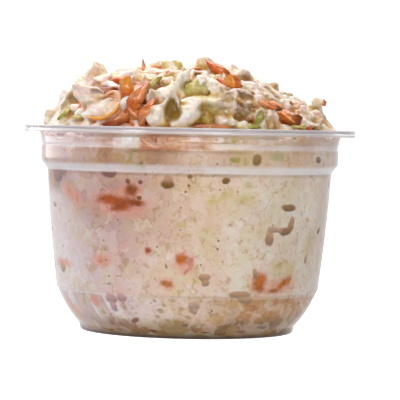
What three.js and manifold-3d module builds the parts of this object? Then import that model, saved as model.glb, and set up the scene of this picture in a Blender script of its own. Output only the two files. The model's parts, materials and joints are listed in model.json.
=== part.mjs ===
// A round tub of coleslaw, heaped above its rim. Millimetres, +Z up.
// The origin is the middle of the foot, on the table. The front faces -Y.
import * as THREE from "three";
import { mergeVertices } from "three/addons/utils/BufferGeometryUtils.js";
import Module from "manifold-3d";

const wasm = await Module();
wasm.setup();

// The clear tub: radii and heights of its outer face, from the foot up.
const wall = 0.8;
const recessRadius = 33;
const recessHeight = 1.2;
const footInnerRadius = 34.2;
const footRadius = 37.6;
const floorRadius = 36.7;
const heelRadius = 38.2;
const heelHeight = 2.6;
const bowlRadius = 45.9;
const bowlHeight = 14.7;
const bowlBelly = [42.6, 7.0];
const bodyRadius = 46.3;
const bodyHeight = 15.1;
const bodyTopRadius = 50.2;
const bodyTopHeight = 56.9;
const bodyBulge = 0.4;
const bandRadius = 52.5;
const bandHeight = 59.5;
const ledgeHeight = 64.5;
const neckRadius = 52.2;
const neckTopRadius = 53.4;
const flangeUnderside = 71.0;
const flangeRadius = 58.5;
const lipBottom = 69.5;
const tubHeight = 71.8;
const rimRound = 0.5;
const turns = 44; // facets round the tub and the slaw's side

// The coleslaw: its gap to the wall, the heap over the rim and its lumps.
const gap = 0.3;
const heapRadius = 51.6;
const heapRise = 18.8;
const heapFullness = 4.8; // a higher power gives a fuller heap with a steeper edge
const lowSide = { from: 14, to: 34, drop: 0.44 }; // the heap is lower towards +X
const contactHeight = 68.6;
const contactWander = 1.2;
const frontDip = { angle: -96, reach: 34, depth: 3.4 }; // degrees from +X
const lumpCount = 40;
const lumpHeight = 2.8;
const lumpSpread = 6.0;
const cragHeight = 0.9;
const topRings = [0.985, 0.95, 0.89, 0.81, 0.71, 0.6, 0.48, 0.35, 0.19];

// The pieces that show on the heap: ranges are the least and the most.
const goldenAngle = 2.399963; // radians between neighbours on a sunflower spiral
const edgeBias = 0.42; // under 0.5 sets more of the pieces on the heap's steep edge
const pieceReach = 0.95 * heapRadius;
const leafCount = 34;
const leafLength = [9, 15];
const leafThickness = 1.4;
const cabbageCount = 28;
const cabbageLength = [12, 26];
const cabbageSection = [2.6, 1.3]; // width and thickness of a shred
const carrotCount = 18;
const carrotLength = [12, 24];
const carrotSection = [2.0, 1.6];
// Pieces that stand up on the skyline: place across, place in depth, height over the rim.
const crestLength = [11, 14];
const crests = [
  [-46, -4, 9.8],
  [-35, -9, 21.4],
  [-21, 6, 20.4],
  [-12, -12, 22.6],
  [-6, 9, 23.4],
  [5, -6, 25.0],
  [12, 13, 22.8],
  [17, -9, 21.8],
  [26, 4, 17.4],
  [35, -8, 12.2],
  [45, 3, 10.4],
];

const slawColour = 0xd9b695;
const tubColour = 0xe6e2e6;

// A seeded draw between 0 and 1, so that the heap is the same on every run.
let seed = 20731;
function draw() {
  seed = (seed * 16807) % 2147483647;
  return seed / 2147483647;
}

function between(low, high) {
  return low + (high - low) * draw();
}

function smoothStep(from, to, value) {
  const t = Math.min(Math.max((value - from) / (to - from), 0), 1);
  return t * t * (3 - 2 * t);
}

// The outer face of the wall from the foot to the underside of the flange.
function wallOutline() {
  const bowl = new THREE.QuadraticBezierCurve(
    new THREE.Vector2(heelRadius, heelHeight),
    new THREE.Vector2(...bowlBelly),
    new THREE.Vector2(bowlRadius, bowlHeight),
  ).getPoints(4);
  const bodySteps = 3;
  const body = Array.from({ length: bodySteps + 1 }, (_, i) => {
    const t = i / bodySteps;
    const taper = THREE.MathUtils.lerp(bodyRadius, bodyTopRadius, t);
    const height = THREE.MathUtils.lerp(bodyHeight, bodyTopHeight, t);
    return new THREE.Vector2(taper + bodyBulge * Math.sin(Math.PI * t), height);
  });
  return [
    new THREE.Vector2(footRadius, 0),
    ...bowl,
    ...body,
    new THREE.Vector2(bandRadius, bandHeight),
    new THREE.Vector2(bandRadius, ledgeHeight),
    new THREE.Vector2(neckRadius, ledgeHeight + 0.4),
    new THREE.Vector2(neckTopRadius, flangeUnderside),
  ];
}

// The same outline moved inwards, with mitred corners, so that the wall is even.
function insetOutline(outline, distance) {
  const sides = outline.slice(1).map((point, i) => {
    const along = point.clone().sub(outline[i]).normalize();
    return new THREE.Vector2(-along.y, along.x);
  });
  return outline.map((point, i) => {
    const before = sides[Math.max(i - 1, 0)];
    const after = sides[Math.min(i, sides.length - 1)];
    const mitre = before.clone().add(after).multiplyScalar(distance / (1 + before.dot(after)));
    return mitre.add(point);
  });
}

const floorHeight = recessHeight + wall;
const outerWall = wallOutline();

// The inner face of the tub, or a clear line inside it, from the floor to the rim.
function innerLine(clearance) {
  const line = insetOutline(outerWall, wall + clearance).slice(2);
  const floorEdge = new THREE.Vector2(floorRadius - clearance, floorHeight + clearance);
  return [floorEdge, ...line];
}

function lathe(profile) {
  const geometry = new THREE.LatheGeometry(profile, turns);
  geometry.rotateX(Math.PI / 2);
  return geometry;
}

function tubGeometry() {
  const lip = flangeRadius - wall;
  const inside = innerLine(0);
  inside[inside.length - 1].y = tubHeight - rimRound;
  const mouth = inside[inside.length - 1].x;
  const profile = [
    new THREE.Vector2(0, recessHeight),
    new THREE.Vector2(recessRadius, recessHeight),
    new THREE.Vector2(footInnerRadius, 0),
    ...outerWall,
    new THREE.Vector2(lip, flangeUnderside),
    new THREE.Vector2(lip, lipBottom),
    new THREE.Vector2(flangeRadius, lipBottom),
    new THREE.Vector2(flangeRadius, tubHeight - rimRound),
    new THREE.Vector2(flangeRadius - rimRound, tubHeight),
    new THREE.Vector2(mouth + rimRound, tubHeight),
    ...inside.reverse(),
    new THREE.Vector2(0, floorHeight),
  ];
  return lathe(profile);
}

// Lumps spread over the heap on a sunflower spiral, some up and some down.
const lumps = Array.from({ length: lumpCount }, (_, i) => {
  const radius = pieceReach * Math.sqrt((i + 0.5) / lumpCount);
  const angle = i * goldenAngle + between(-0.4, 0.4);
  return {
    x: radius * Math.cos(angle),
    y: radius * Math.sin(angle),
    height: between(-lumpHeight, lumpHeight),
    spread: lumpSpread * between(0.7, 1.3),
  };
});

// How high the heap stands over the rim at one place.
function heapRiseAt(x, y) {
  const dome = 1 - Math.min(Math.hypot(x, y) / heapRadius, 1) ** heapFullness;
  const side = 1 - lowSide.drop * smoothStep(lowSide.from, lowSide.to, x);
  const bumps = lumps.reduce((sum, lump) => {
    const away = ((x - lump.x) ** 2 + (y - lump.y) ** 2) / lump.spread ** 2;
    return sum + lump.height * Math.exp(-away);
  }, 0);
  return (heapRise * side + bumps) * dome;
}

// The height at which the slaw leaves the wall, at one angle in radians.
function contactAt(angle) {
  const degrees = THREE.MathUtils.radToDeg(angle);
  const turned = THREE.MathUtils.euclideanModulo(degrees - frontDip.angle + 180, 360) - 180;
  const dip = frontDip.depth * Math.exp(-((turned / frontDip.reach) ** 4));
  return contactHeight + contactWander * Math.sin(3 * angle + 1) * Math.cos(5 * angle) - dip;
}

// The top of the heap: it falls from its rise to the contact line at the wall.
function heapTop(x, y) {
  const share = Math.min(Math.hypot(x, y) / heapRadius, 1);
  const contact = contactAt(Math.atan2(y, x));
  return contact + (tubHeight - contact + heapRiseAt(x, y)) * (1 - share ** 14);
}

function heapNormal(x, y) {
  const reach = 1.5;
  const slopeX = (heapTop(x + reach, y) - heapTop(x - reach, y)) / (2 * reach);
  const slopeY = (heapTop(x, y + reach) - heapTop(x, y - reach)) / (2 * reach);
  return new THREE.Vector3(-slopeX, -slopeY, 1).normalize();
}

// A closed geometry from rings of points with one tip at each end, the first ring lowest.
function ringsGeometry(lowTip, rings, highTip) {
  const count = rings[0].length;
  const points = [lowTip, ...rings.flat(), highTip];
  const faces = [];
  const last = points.length - 1;
  const topStart = 1 + (rings.length - 1) * count;
  for (let j = 0; j < count; j++) {
    const next = (j + 1) % count;
    faces.push(0, 1 + next, 1 + j);
    faces.push(last, topStart + j, topStart + next);
    for (let i = 0; i < rings.length - 1; i++) {
      const a = 1 + i * count + j;
      const b = 1 + i * count + next;
      faces.push(a, b, b + count, a, b + count, a + count);
    }
  }
  return indexed(points, faces);
}

function indexed(points, faces) {
  const geometry = new THREE.BufferGeometry();
  geometry.setAttribute("position", new THREE.Float32BufferAttribute(points.flatMap((p) => p.toArray()), 3));
  geometry.setIndex(faces);
  return geometry;
}

// The core fills the tub up to the contact line and carries the heap.
function coreGeometry() {
  const side = innerLine(gap);
  const neckTop = side.pop();
  const neckFoot = side[side.length - 1];
  const rings = side.map((point) => {
    return Array.from({ length: turns }, (_, j) => {
      const angle = (2 * Math.PI * j) / turns;
      return new THREE.Vector3(point.x * Math.cos(angle), point.x * Math.sin(angle), point.y);
    });
  });
  rings.push(Array.from({ length: turns }, (_, j) => {
    const angle = (2 * Math.PI * j) / turns;
    const height = contactAt(angle);
    const radius = THREE.MathUtils.mapLinear(height, neckFoot.y, neckTop.y, neckFoot.x, neckTop.x);
    return new THREE.Vector3(radius * Math.cos(angle), radius * Math.sin(angle), height);
  }));
  for (const share of topRings.map((s) => s * heapRadius)) {
    rings.push(Array.from({ length: turns }, (_, j) => {
      const angle = (2 * Math.PI * j) / turns;
      const x = share * Math.cos(angle);
      const y = share * Math.sin(angle);
      return new THREE.Vector3(x, y, heapTop(x, y) + between(-cragHeight, cragHeight));
    }));
  }
  const floor = new THREE.Vector3(0, 0, floorHeight + gap);
  return ringsGeometry(floor, rings, new THREE.Vector3(0, 0, heapTop(0, 0)));
}

// A thin wavy solid over a grid: a leaf piece with its two faces split alike.
function leafGeometry(length, width, thickness, curl) {
  const cellsLong = 3;
  const cellsWide = 2;
  const row = cellsWide + 1;
  const layer = row * (cellsLong + 1);
  const wave = between(0, 2 * Math.PI);
  const ragged = Array.from({ length: layer }, () => between(0.82, 1.12));
  const points = [];
  for (const side of [-0.5, 0.5]) {
    for (let n = 0; n < layer; n++) {
      const u = Math.floor(n / row) / cellsLong - 0.5;
      const v = (n % row) / cellsWide - 0.5;
      const taper = 1 - 1.2 * u * u;
      const x = u * length * ragged[n];
      const y = v * width * taper * ragged[n];
      const bend = curl * length * u * u + 0.09 * width * Math.sin(7 * v + 3 * u + wave);
      points.push(new THREE.Vector3(x, y, bend + side * thickness));
    }
  }
  const faces = [];
  for (let i = 0; i < cellsLong; i++) {
    for (let j = 0; j < cellsWide; j++) {
      const a = i * row + j;
      const b = a + row;
      faces.push(a, a + 1, b + 1, a, b + 1, b);
      faces.push(layer + a, layer + b + 1, layer + a + 1, layer + a, layer + b, layer + b + 1);
    }
  }
  const border = [];
  for (let j = 0; j < cellsWide; j++) border.push(j);
  for (let i = 0; i < cellsLong; i++) border.push(i * row + cellsWide);
  for (let j = cellsWide; j > 0; j--) border.push(cellsLong * row + j);
  for (let i = cellsLong; i > 0; i--) border.push(i * row);
  border.forEach((a, n) => {
    const b = border[(n + 1) % border.length];
    faces.push(a, layer + a, layer + b, a, layer + b, b);
  });
  return indexed(points, faces);
}

// A bent strip: a four-sided shred that follows an arc and twists a little.
function shredGeometry(length, width, thickness, arch, sway) {
  const steps = 3;
  const rings = Array.from({ length: steps + 1 }, (_, i) => {
    const t = i / steps - 0.5;
    const narrowing = 1 - 1.6 * t * t;
    const centre = new THREE.Vector3(t * length, sway * Math.sin(4 * t + 1), -arch * 4 * t * t);
    return [[-1, -1], [1, -1], [1, 1], [-1, 1]].map(([across, up]) => {
      const y = (across * width * narrowing) / 2;
      const z = (up * thickness) / 2;
      return new THREE.Vector3(centre.x, centre.y + y, centre.z + z);
    });
  });
  const start = rings[0][0].clone().add(rings[0][2]).multiplyScalar(0.5);
  const end = rings[steps][0].clone().add(rings[steps][2]).multiplyScalar(0.5);
  return ringsGeometry(start, rings, end);
}

// Puts a piece on the heap: its own Z along the lean, turned about it by the heading.
function laidOn(geometry, place, lean, heading) {
  const turn = new THREE.Quaternion().setFromUnitVectors(new THREE.Vector3(0, 0, 1), lean);
  const spin = new THREE.Quaternion().setFromAxisAngle(new THREE.Vector3(0, 0, 1), heading);
  const matrix = new THREE.Matrix4().compose(place, turn.multiply(spin), new THREE.Vector3(1, 1, 1));
  geometry.applyMatrix4(matrix);
  return geometry;
}

// A place on the heap for piece number i of count, spread evenly and then moved a little.
function spreadPlace(i, count, phase, lift) {
  const radius = pieceReach * ((i + 0.5) / count) ** edgeBias;
  const angle = i * goldenAngle + phase + between(-0.25, 0.25);
  const x = radius * Math.cos(angle);
  const y = radius * Math.sin(angle);
  return new THREE.Vector3(x, y, heapTop(x, y) + lift);
}

function tilted(place, amount) {
  const lean = heapNormal(place.x, place.y);
  lean.add(new THREE.Vector3(between(-amount, amount), between(-amount, amount), 0));
  return lean.normalize();
}

function leaves() {
  return Array.from({ length: leafCount }, (_, i) => {
    const place = spreadPlace(i, leafCount, 0.3, between(-0.2, 0.6));
    const length = between(...leafLength);
    const piece = leafGeometry(length, length * between(0.6, 0.85), leafThickness, between(-0.25, 0.1));
    return laidOn(piece, place, tilted(place, 0.45), between(0, Math.PI));
  });
}

// Leaf pieces that stand on edge, with their top at a height over the rim.
function crestLeaves() {
  return crests.map(([x, y, height]) => {
    const length = between(...crestLength);
    const piece = leafGeometry(length, 0.7 * length, leafThickness, between(-0.12, 0.12));
    const place = new THREE.Vector3(x, y, tubHeight + height - 0.45 * length);
    const lean = new THREE.Vector3(between(-0.5, 0.5), -1, between(0.1, 0.4)).normalize();
    return laidOn(piece, place, lean, Math.PI / 2 + between(-0.3, 0.3));
  });
}

function shreds(count, lengths, [width, thickness], phase) {
  return Array.from({ length: count }, (_, i) => {
    const place = spreadPlace(i, count, phase, between(0.1, 0.9));
    const length = between(...lengths);
    const arch = (length * length) / (8 * heapRadius) + between(0.2, 1.4);
    const piece = shredGeometry(length, width * between(0.8, 1.2), thickness, arch, between(-1.5, 1.5));
    return laidOn(piece, place, tilted(place, 0.3), between(0, Math.PI));
  });
}

function toSolid(geometry) {
  geometry.deleteAttribute("normal");
  geometry.deleteAttribute("uv");
  const merged = mergeVertices(geometry, 1e-4);
  const mesh = new wasm.Mesh({
    numProp: 3,
    vertProperties: new Float32Array(merged.attributes.position.array),
    triVerts: new Uint32Array(merged.index.array),
  });
  return new wasm.Manifold(mesh);
}

function toGeometry(solid) {
  const mesh = solid.getMesh();
  const geometry = new THREE.BufferGeometry();
  geometry.setAttribute("position", new THREE.BufferAttribute(mesh.vertProperties, 3));
  geometry.setIndex(new THREE.BufferAttribute(mesh.triVerts, 1));
  geometry.computeVertexNormals();
  return geometry;
}

// The space that the pieces may take: inside the wall, and inside the rim above it.
function clearSpace() {
  const line = innerLine(2 * gap);
  const mouth = line[line.length - 1].x;
  return lathe([
    new THREE.Vector2(0, floorHeight + gap),
    ...line,
    new THREE.Vector2(mouth, tubHeight * 2),
    new THREE.Vector2(0, tubHeight * 2),
  ]);
}

// Core and pieces joined, cut back from the wall, without loose scraps or sealed hollows.
function coleslawGeometry() {
  const pieces = [
    ...leaves(),
    ...crestLeaves(),
    ...shreds(cabbageCount, cabbageLength, cabbageSection, 1.1),
    ...shreds(carrotCount, carrotLength, carrotSection, 2.3),
  ];
  const loose = pieces.map(toSolid).reduce((sum, piece) => sum.add(piece));
  const kept = loose.intersect(toSolid(clearSpace()));
  const heap = toSolid(coreGeometry()).add(kept).simplify(0.05);
  const bodies = heap.decompose().sort((a, b) => b.volume() - a.volume());
  return toGeometry(bodies[0]);
}

function part(name, geometry, look) {
  const mesh = new THREE.Mesh(geometry, new THREE.MeshStandardMaterial(look));
  mesh.name = name;
  return mesh;
}

const coleslawTub = new THREE.Group();
coleslawTub.add(part("tub", tubGeometry(), {
  color: tubColour,
  roughness: 0.12,
  metalness: 0,
  transparent: true,
  opacity: 0.3,
}));
coleslawTub.add(part("coleslaw", coleslawGeometry(), {
  color: slawColour,
  roughness: 0.35,
  metalness: 0,
}));

export default coleslawTub;
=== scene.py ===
"""A round clear tub of coleslaw, heaped above its rim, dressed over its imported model."""
import json
import math
import random

import bpy
import numpy as np
from mathutils import Matrix, Vector
from mathutils.bvhtree import BVHTree

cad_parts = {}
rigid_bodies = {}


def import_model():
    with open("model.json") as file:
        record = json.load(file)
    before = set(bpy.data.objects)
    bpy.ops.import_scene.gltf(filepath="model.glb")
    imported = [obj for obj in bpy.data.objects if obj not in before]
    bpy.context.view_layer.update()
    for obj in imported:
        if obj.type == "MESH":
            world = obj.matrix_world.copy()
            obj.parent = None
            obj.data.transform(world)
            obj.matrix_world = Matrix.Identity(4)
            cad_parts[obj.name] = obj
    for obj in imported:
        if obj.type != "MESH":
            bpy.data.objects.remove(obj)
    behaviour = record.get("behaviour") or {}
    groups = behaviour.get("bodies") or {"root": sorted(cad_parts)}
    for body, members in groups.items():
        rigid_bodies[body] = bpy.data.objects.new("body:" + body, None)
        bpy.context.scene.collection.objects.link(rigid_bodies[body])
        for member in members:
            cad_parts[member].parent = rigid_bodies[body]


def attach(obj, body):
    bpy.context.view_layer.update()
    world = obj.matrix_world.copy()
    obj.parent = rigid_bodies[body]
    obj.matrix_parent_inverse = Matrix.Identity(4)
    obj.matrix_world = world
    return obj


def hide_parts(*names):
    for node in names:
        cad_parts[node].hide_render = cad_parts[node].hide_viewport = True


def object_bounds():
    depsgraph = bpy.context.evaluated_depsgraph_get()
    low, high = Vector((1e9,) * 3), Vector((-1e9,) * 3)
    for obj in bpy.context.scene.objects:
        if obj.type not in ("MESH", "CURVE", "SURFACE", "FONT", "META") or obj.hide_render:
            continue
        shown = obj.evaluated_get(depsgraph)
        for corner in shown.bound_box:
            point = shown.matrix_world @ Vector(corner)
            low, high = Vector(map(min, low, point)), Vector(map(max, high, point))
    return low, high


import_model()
cad_low, cad_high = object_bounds()

MM = 0.001
TURN = 2 * math.pi

# The tub's outer face in millimetres, as (radius, height, corner rounding).
RECESS_RADIUS, RECESS_HEIGHT = 33.0, 1.2
FOOT_INNER_RADIUS, FOOT_RADIUS = 34.2, 37.6
HEEL_RADIUS, HEEL_HEIGHT = 38.2, 2.6
BOWL_RADIUS, BOWL_HEIGHT = 45.9, 14.7
BOWL_BELLY = (42.6, 7.0)
BODY_RADIUS, BODY_HEIGHT = 46.3, 15.1
BODY_TOP_RADIUS, BODY_TOP_HEIGHT = 50.2, 56.9
BODY_BULGE = 0.4
BAND_RADIUS, BAND_HEIGHT = 52.5, 59.5
LEDGE_HEIGHT = 64.5
NECK_RADIUS, NECK_TOP_RADIUS = 52.2, 53.4
FLANGE_UNDERSIDE = 71.0
FLANGE_RADIUS, LIP_WIDTH, LIP_BOTTOM = 58.5, 0.8, 69.5
LIP_GROOVE = 70.9
TUB_HEIGHT = 71.8
WALL = 0.55
TUB_TURNS = 144

# The slaw reaches this far in from the tub's outer face, which is just inside the wall.
CONTACT_INSET = 0.36
HEAP_RADIUS = 51.6
HEAP_RISE = 18.8
HEAP_FULLNESS = 4.8
LOW_SIDE_FROM, LOW_SIDE_TO, LOW_SIDE_DROP = 14.0, 34.0, 0.44
CONTACT_HEIGHT, CONTACT_WANDER = 68.6, 1.2
FRONT_DIP_ANGLE, FRONT_DIP_REACH, FRONT_DIP_DEPTH = -96.0, 34.0, 3.4
LUMP_COUNT, LUMP_HEIGHT, LUMP_SPREAD = 40, 2.8, 6.0
LUMP_SEED = 20731
GOLDEN_ANGLE = 2.399963
CREASE_HEIGHT = 14.9

# The slaw's core behind the wall: where its side ends before it is made ragged, and its grid.
SIDE_TOP, RAGGED_LIMIT = 66.0, 70.3
SIDE_RINGS, TOP_RINGS, SLAW_TURNS = 144, 24, 500
POCKET_DEPTH, SPOT_SQUARENESS, SPOTS_SEED = 0.12, 2.4, 41

# The heap on it: one skin of dressing over its leaves, with carrot, greens and drops.
TOP_LIMIT = cad_high.z / MM - 0.05
CORE_SINK, BED_BOTTOM, FRONT_SINK = 1.8, 62.0, 1.4
MASS_VOXEL, MASS_TRIANGLES, DRESSING_THICK = 0.0005, 190000, 0.7
REACH_ROUNDS, COLOUR_ROUNDS, HOLLOW_DEPTH = 60, 2, 1.6
WALL_CLEARANCE, RIM_OVERHANG, SEAT_STEPS = 0.5, 0.4, 160
PETAL_RUFFLE, PETAL_CREASE, SHRED_TWIST = 0.1, 0.52, 0.6
SHRED_STEPS, DROP_COUNT, HEAP_SEED = 14, 90, 7

CAMERA_PLACE, LOOKING_DOWN, CAMERA_ROLL = (0.0039, -0.844, 0.072), 1.745, 1.2
SENSOR, VIEW_ANGLE = 36, 9.6
LIT_POINT = (0, 0, 0.05)


def smooth(low, high, value):
    t = np.clip((value - low) / (high - low), 0, 1)
    return t * t * (3 - 2 * t)


def laid_over(tint, share, colour):
    """The colours with another one over them, by each point's share."""
    return tint * (1 - share[:, None]) + np.array(colour) * share[:, None]


# ---------------------------------------------------------------- outlines

def arc_between(start, belly, end, steps):
    """Points of the curve that leaves start towards belly and comes from belly into end."""
    points = []
    for i in range(steps + 1):
        t = i / steps
        points.append(tuple(
            (1 - t) ** 2 * a + 2 * t * (1 - t) * b + t * t * c
            for a, b, c in zip(start, belly, end)))
    return points


def rounded(corners, steps=4):
    """The line through (radius, height, rounding) corners, each one replaced by a short curve."""
    line = []
    for i, (r, z, rounding) in enumerate(corners):
        here = Vector((r, z))
        if rounding == 0 or i in (0, len(corners) - 1):
            line.append((r, z))
            continue
        before = Vector(corners[i - 1][:2]) - here
        after = Vector(corners[i + 1][:2]) - here
        start = here + before.normalized() * min(rounding, 0.45 * before.length)
        end = here + after.normalized() * min(rounding, 0.45 * after.length)
        line += arc_between(tuple(start), (r, z), tuple(end), steps)
    return line


def body_line(steps=10):
    points = []
    for i in range(1, steps):
        t = i / steps
        radius = BODY_RADIUS + (BODY_TOP_RADIUS - BODY_RADIUS) * t + BODY_BULGE * math.sin(math.pi * t)
        points.append((radius, BODY_HEIGHT + (BODY_TOP_HEIGHT - BODY_HEIGHT) * t, 0))
    return points


def outer_wall():
    """The outer face from the foot's inner edge up to the underside of the flange."""
    bowl = arc_between((HEEL_RADIUS, HEEL_HEIGHT), BOWL_BELLY, (BOWL_RADIUS, BOWL_HEIGHT), 9)
    return rounded([
        (FOOT_INNER_RADIUS, 0, 0),
        (FOOT_RADIUS, 0, 0.9),
        (*bowl[0], 0.5),
        *[(r, z, 0) for r, z in bowl[1:-1]],
        (*bowl[-1], 0.3),
        (BODY_RADIUS, BODY_HEIGHT, 0.3),
        *body_line(),
        (BODY_TOP_RADIUS, BODY_TOP_HEIGHT, 1.2),
        (BAND_RADIUS, BAND_HEIGHT, 1.1),
        (BAND_RADIUS, LEDGE_HEIGHT, 0.5),
        (NECK_RADIUS, LEDGE_HEIGHT + 0.4, 0.3),
        (NECK_TOP_RADIUS, FLANGE_UNDERSIDE, 0),
    ])


def inset(line, distance):
    """The line moved inwards, square to itself."""
    points = np.array(line)
    along = np.gradient(points, axis=0)
    along /= np.linalg.norm(along, axis=1)[:, None]
    return [tuple(p) for p in points + distance * np.stack([-along[:, 1], along[:, 0]], 1)]


WALL_LINE = outer_wall()
SIDE_LINE = [p for p in WALL_LINE if p[1] >= HEEL_HEIGHT - 0.5]


def contact_radius(height):
    """How far out the slaw reaches at each height, in millimetres."""
    line = np.array(inset(SIDE_LINE, CONTACT_INSET))
    return np.interp(height, line[:, 1], line[:, 0])


# ------------------------------------------------------------ heap's form

def make_lumps():
    """Lumps on a sunflower spiral, drawn as in the part's source."""
    state = LUMP_SEED

    def between(low, high):
        nonlocal state
        state = state * 16807 % 2147483647
        return low + (high - low) * state / 2147483647

    lumps = []
    for i in range(LUMP_COUNT):
        radius = 0.95 * HEAP_RADIUS * math.sqrt((i + 0.5) / LUMP_COUNT)
        angle = i * GOLDEN_ANGLE + between(-0.4, 0.4)
        height = between(-LUMP_HEIGHT, LUMP_HEIGHT)
        spread = LUMP_SPREAD * between(0.7, 1.3)
        lumps.append((radius * math.cos(angle), radius * math.sin(angle), height, spread))
    return lumps


LUMPS = make_lumps()


def heap_top(x, y):
    """Height of the core's top over the table, in millimetres."""
    share = np.minimum(np.hypot(x, y) / HEAP_RADIUS, 1)
    bumps = sum(h * np.exp(-((x - u) ** 2 + (y - v) ** 2) / s ** 2) for u, v, h, s in LUMPS)
    side = 1 - LOW_SIDE_DROP * smooth(LOW_SIDE_FROM, LOW_SIDE_TO, x)
    rise = (HEAP_RISE * side + bumps) * (1 - share ** HEAP_FULLNESS)
    contact = contact_height(np.arctan2(y, x))
    return contact + (TUB_HEIGHT - contact + rise) * (1 - share ** 14)


def contact_height(angle):
    turned = (np.degrees(angle) - FRONT_DIP_ANGLE + 180) % 360 - 180
    dip = FRONT_DIP_DEPTH * np.exp(-((turned / FRONT_DIP_REACH) ** 4))
    return CONTACT_HEIGHT + CONTACT_WANDER * np.sin(3 * angle + 1) * np.cos(5 * angle) - dip


def heap_normal(x, y):
    reach = 1.5
    slope_x = (heap_top(x + reach, y) - heap_top(x - reach, y)) / (2 * reach)
    slope_y = (heap_top(x, y + reach) - heap_top(x, y - reach)) / (2 * reach)
    normal = np.array([-slope_x, -slope_y, 1.0])
    return normal / np.linalg.norm(normal)


def front_seat(across, up):
    """The point of the heap's front at a place across and a height over the rim."""
    edge = -math.sqrt(max(HEAP_RADIUS ** 2 - across ** 2, 1.0))
    depths = np.linspace(edge, 0, SEAT_STEPS)
    heights = heap_top(np.full(SEAT_STEPS, across), depths) - TUB_HEIGHT
    reached = np.nonzero(heights >= up)[0]
    depth = depths[reached[0]] if len(reached) else depths[int(heights.argmax())] * 0.5
    return np.array([across, depth, TUB_HEIGHT + up])


def ripple(points, size, seed, waves=7):
    """A smooth noise between about -1 and 1 with bumps of the given size."""
    rng = np.random.default_rng(seed)
    directions = rng.normal(size=(waves, 3))
    directions *= TURN / (2 * size * np.linalg.norm(directions, axis=1)[:, None])
    phases = rng.uniform(0, TURN, waves)
    return np.sin(points @ directions.T + phases).sum(1) / waves * 1.8


# ------------------------------------------------------------ mesh helpers

def leave_edit():
    bpy.ops.object.mode_set(mode="OBJECT")


def deselect():
    if bpy.context.object and bpy.context.object.mode != "OBJECT":
        leave_edit()
    bpy.ops.object.select_all(action="DESELECT")


def pick(piece):
    """Leaves this piece alone selected, and active."""
    deselect()
    piece.select_set(True)
    bpy.context.view_layer.objects.active = piece


def edit_points(select="SELECT"):
    """Enters edit mode by points, with all of them selected or none."""
    bpy.ops.object.mode_set(mode="EDIT")
    bpy.ops.mesh.select_mode(type="VERT")
    bpy.ops.mesh.select_all(action=select)


def applied(piece, kind, **settings):
    """Adds a modifier with its settings and applies it."""
    modifier = piece.modifiers.new(kind.lower(), kind)
    for key, value in settings.items():
        setattr(modifier, key, value)
    bpy.ops.object.modifier_apply(modifier=modifier.name)


def in_scene(name, data):
    made = bpy.data.objects.new(name, data)
    bpy.context.scene.collection.objects.link(made)
    return made


def drawn_line(name, points):
    """A line drawn point by point, from one vertex of a plane, by extruding."""
    deselect()
    bpy.ops.mesh.primitive_plane_add(size=0.001)
    line = bpy.context.object
    line.name = line.data.name = name
    edit_points()
    bpy.ops.mesh.merge(type="CENTER")
    bpy.ops.transform.translate(value=(points[0][0] * MM, 0, points[0][1] * MM))
    for (r0, z0), (r1, z1) in zip(points, points[1:]):
        step = ((r1 - r0) * MM, 0, (z1 - z0) * MM)
        bpy.ops.mesh.extrude_region_move(TRANSFORM_OT_translate={"value": step})
    leave_edit()
    return line


def spun(name, points, turns):
    """A line spun round the tub's axis, with its doubles merged and its faces pointing out."""
    piece = drawn_line(name, points)
    edit_points()
    bpy.ops.mesh.spin(steps=turns, angle=TURN, center=(0, 0, 0), axis=(0, 0, 1))
    bpy.ops.mesh.select_all(action="SELECT")
    bpy.ops.mesh.remove_doubles(threshold=1e-6)
    bpy.ops.mesh.normals_make_consistent(inside=False)
    leave_edit()
    bpy.ops.object.shade_smooth()
    return piece


def read_points(piece, key):
    flat = np.empty(len(piece.data.vertices) * 3, np.float32)
    piece.data.vertices.foreach_get(key, flat)
    return flat.reshape(-1, 3).astype(float)


def points_of(piece):
    return read_points(piece, "co") / MM


def set_points(piece, points):
    piece.data.vertices.foreach_set("co", (points * MM).astype(np.float32).ravel())
    piece.data.update()


def faces_of(piece):
    return [tuple(face.vertices) for face in piece.data.polygons]


def taken_blank():
    """The points and faces of the new primitive, which is then deleted."""
    blank = bpy.context.object
    points, faces = points_of(blank) * MM, faces_of(blank)
    bpy.data.objects.remove(blank)
    return points, faces


def paint(piece, name, values):
    """Writes one number or one colour per point as an attribute of the mesh."""
    values = np.asarray(values, np.float32)
    if values.ndim == 1:
        piece.data.attributes.new(name, "FLOAT", "POINT").data.foreach_set("value", values)
        return
    colours = np.ones((len(values), 4), np.float32)
    colours[:, :3] = values
    piece.data.attributes.new(name, "FLOAT_COLOR", "POINT").data.foreach_set("color", colours.ravel())


def finished(piece, material):
    piece.data.materials.clear()
    piece.data.materials.append(material)
    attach(piece, "root")
    return piece


# --------------------------------------------------------------- materials

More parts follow.
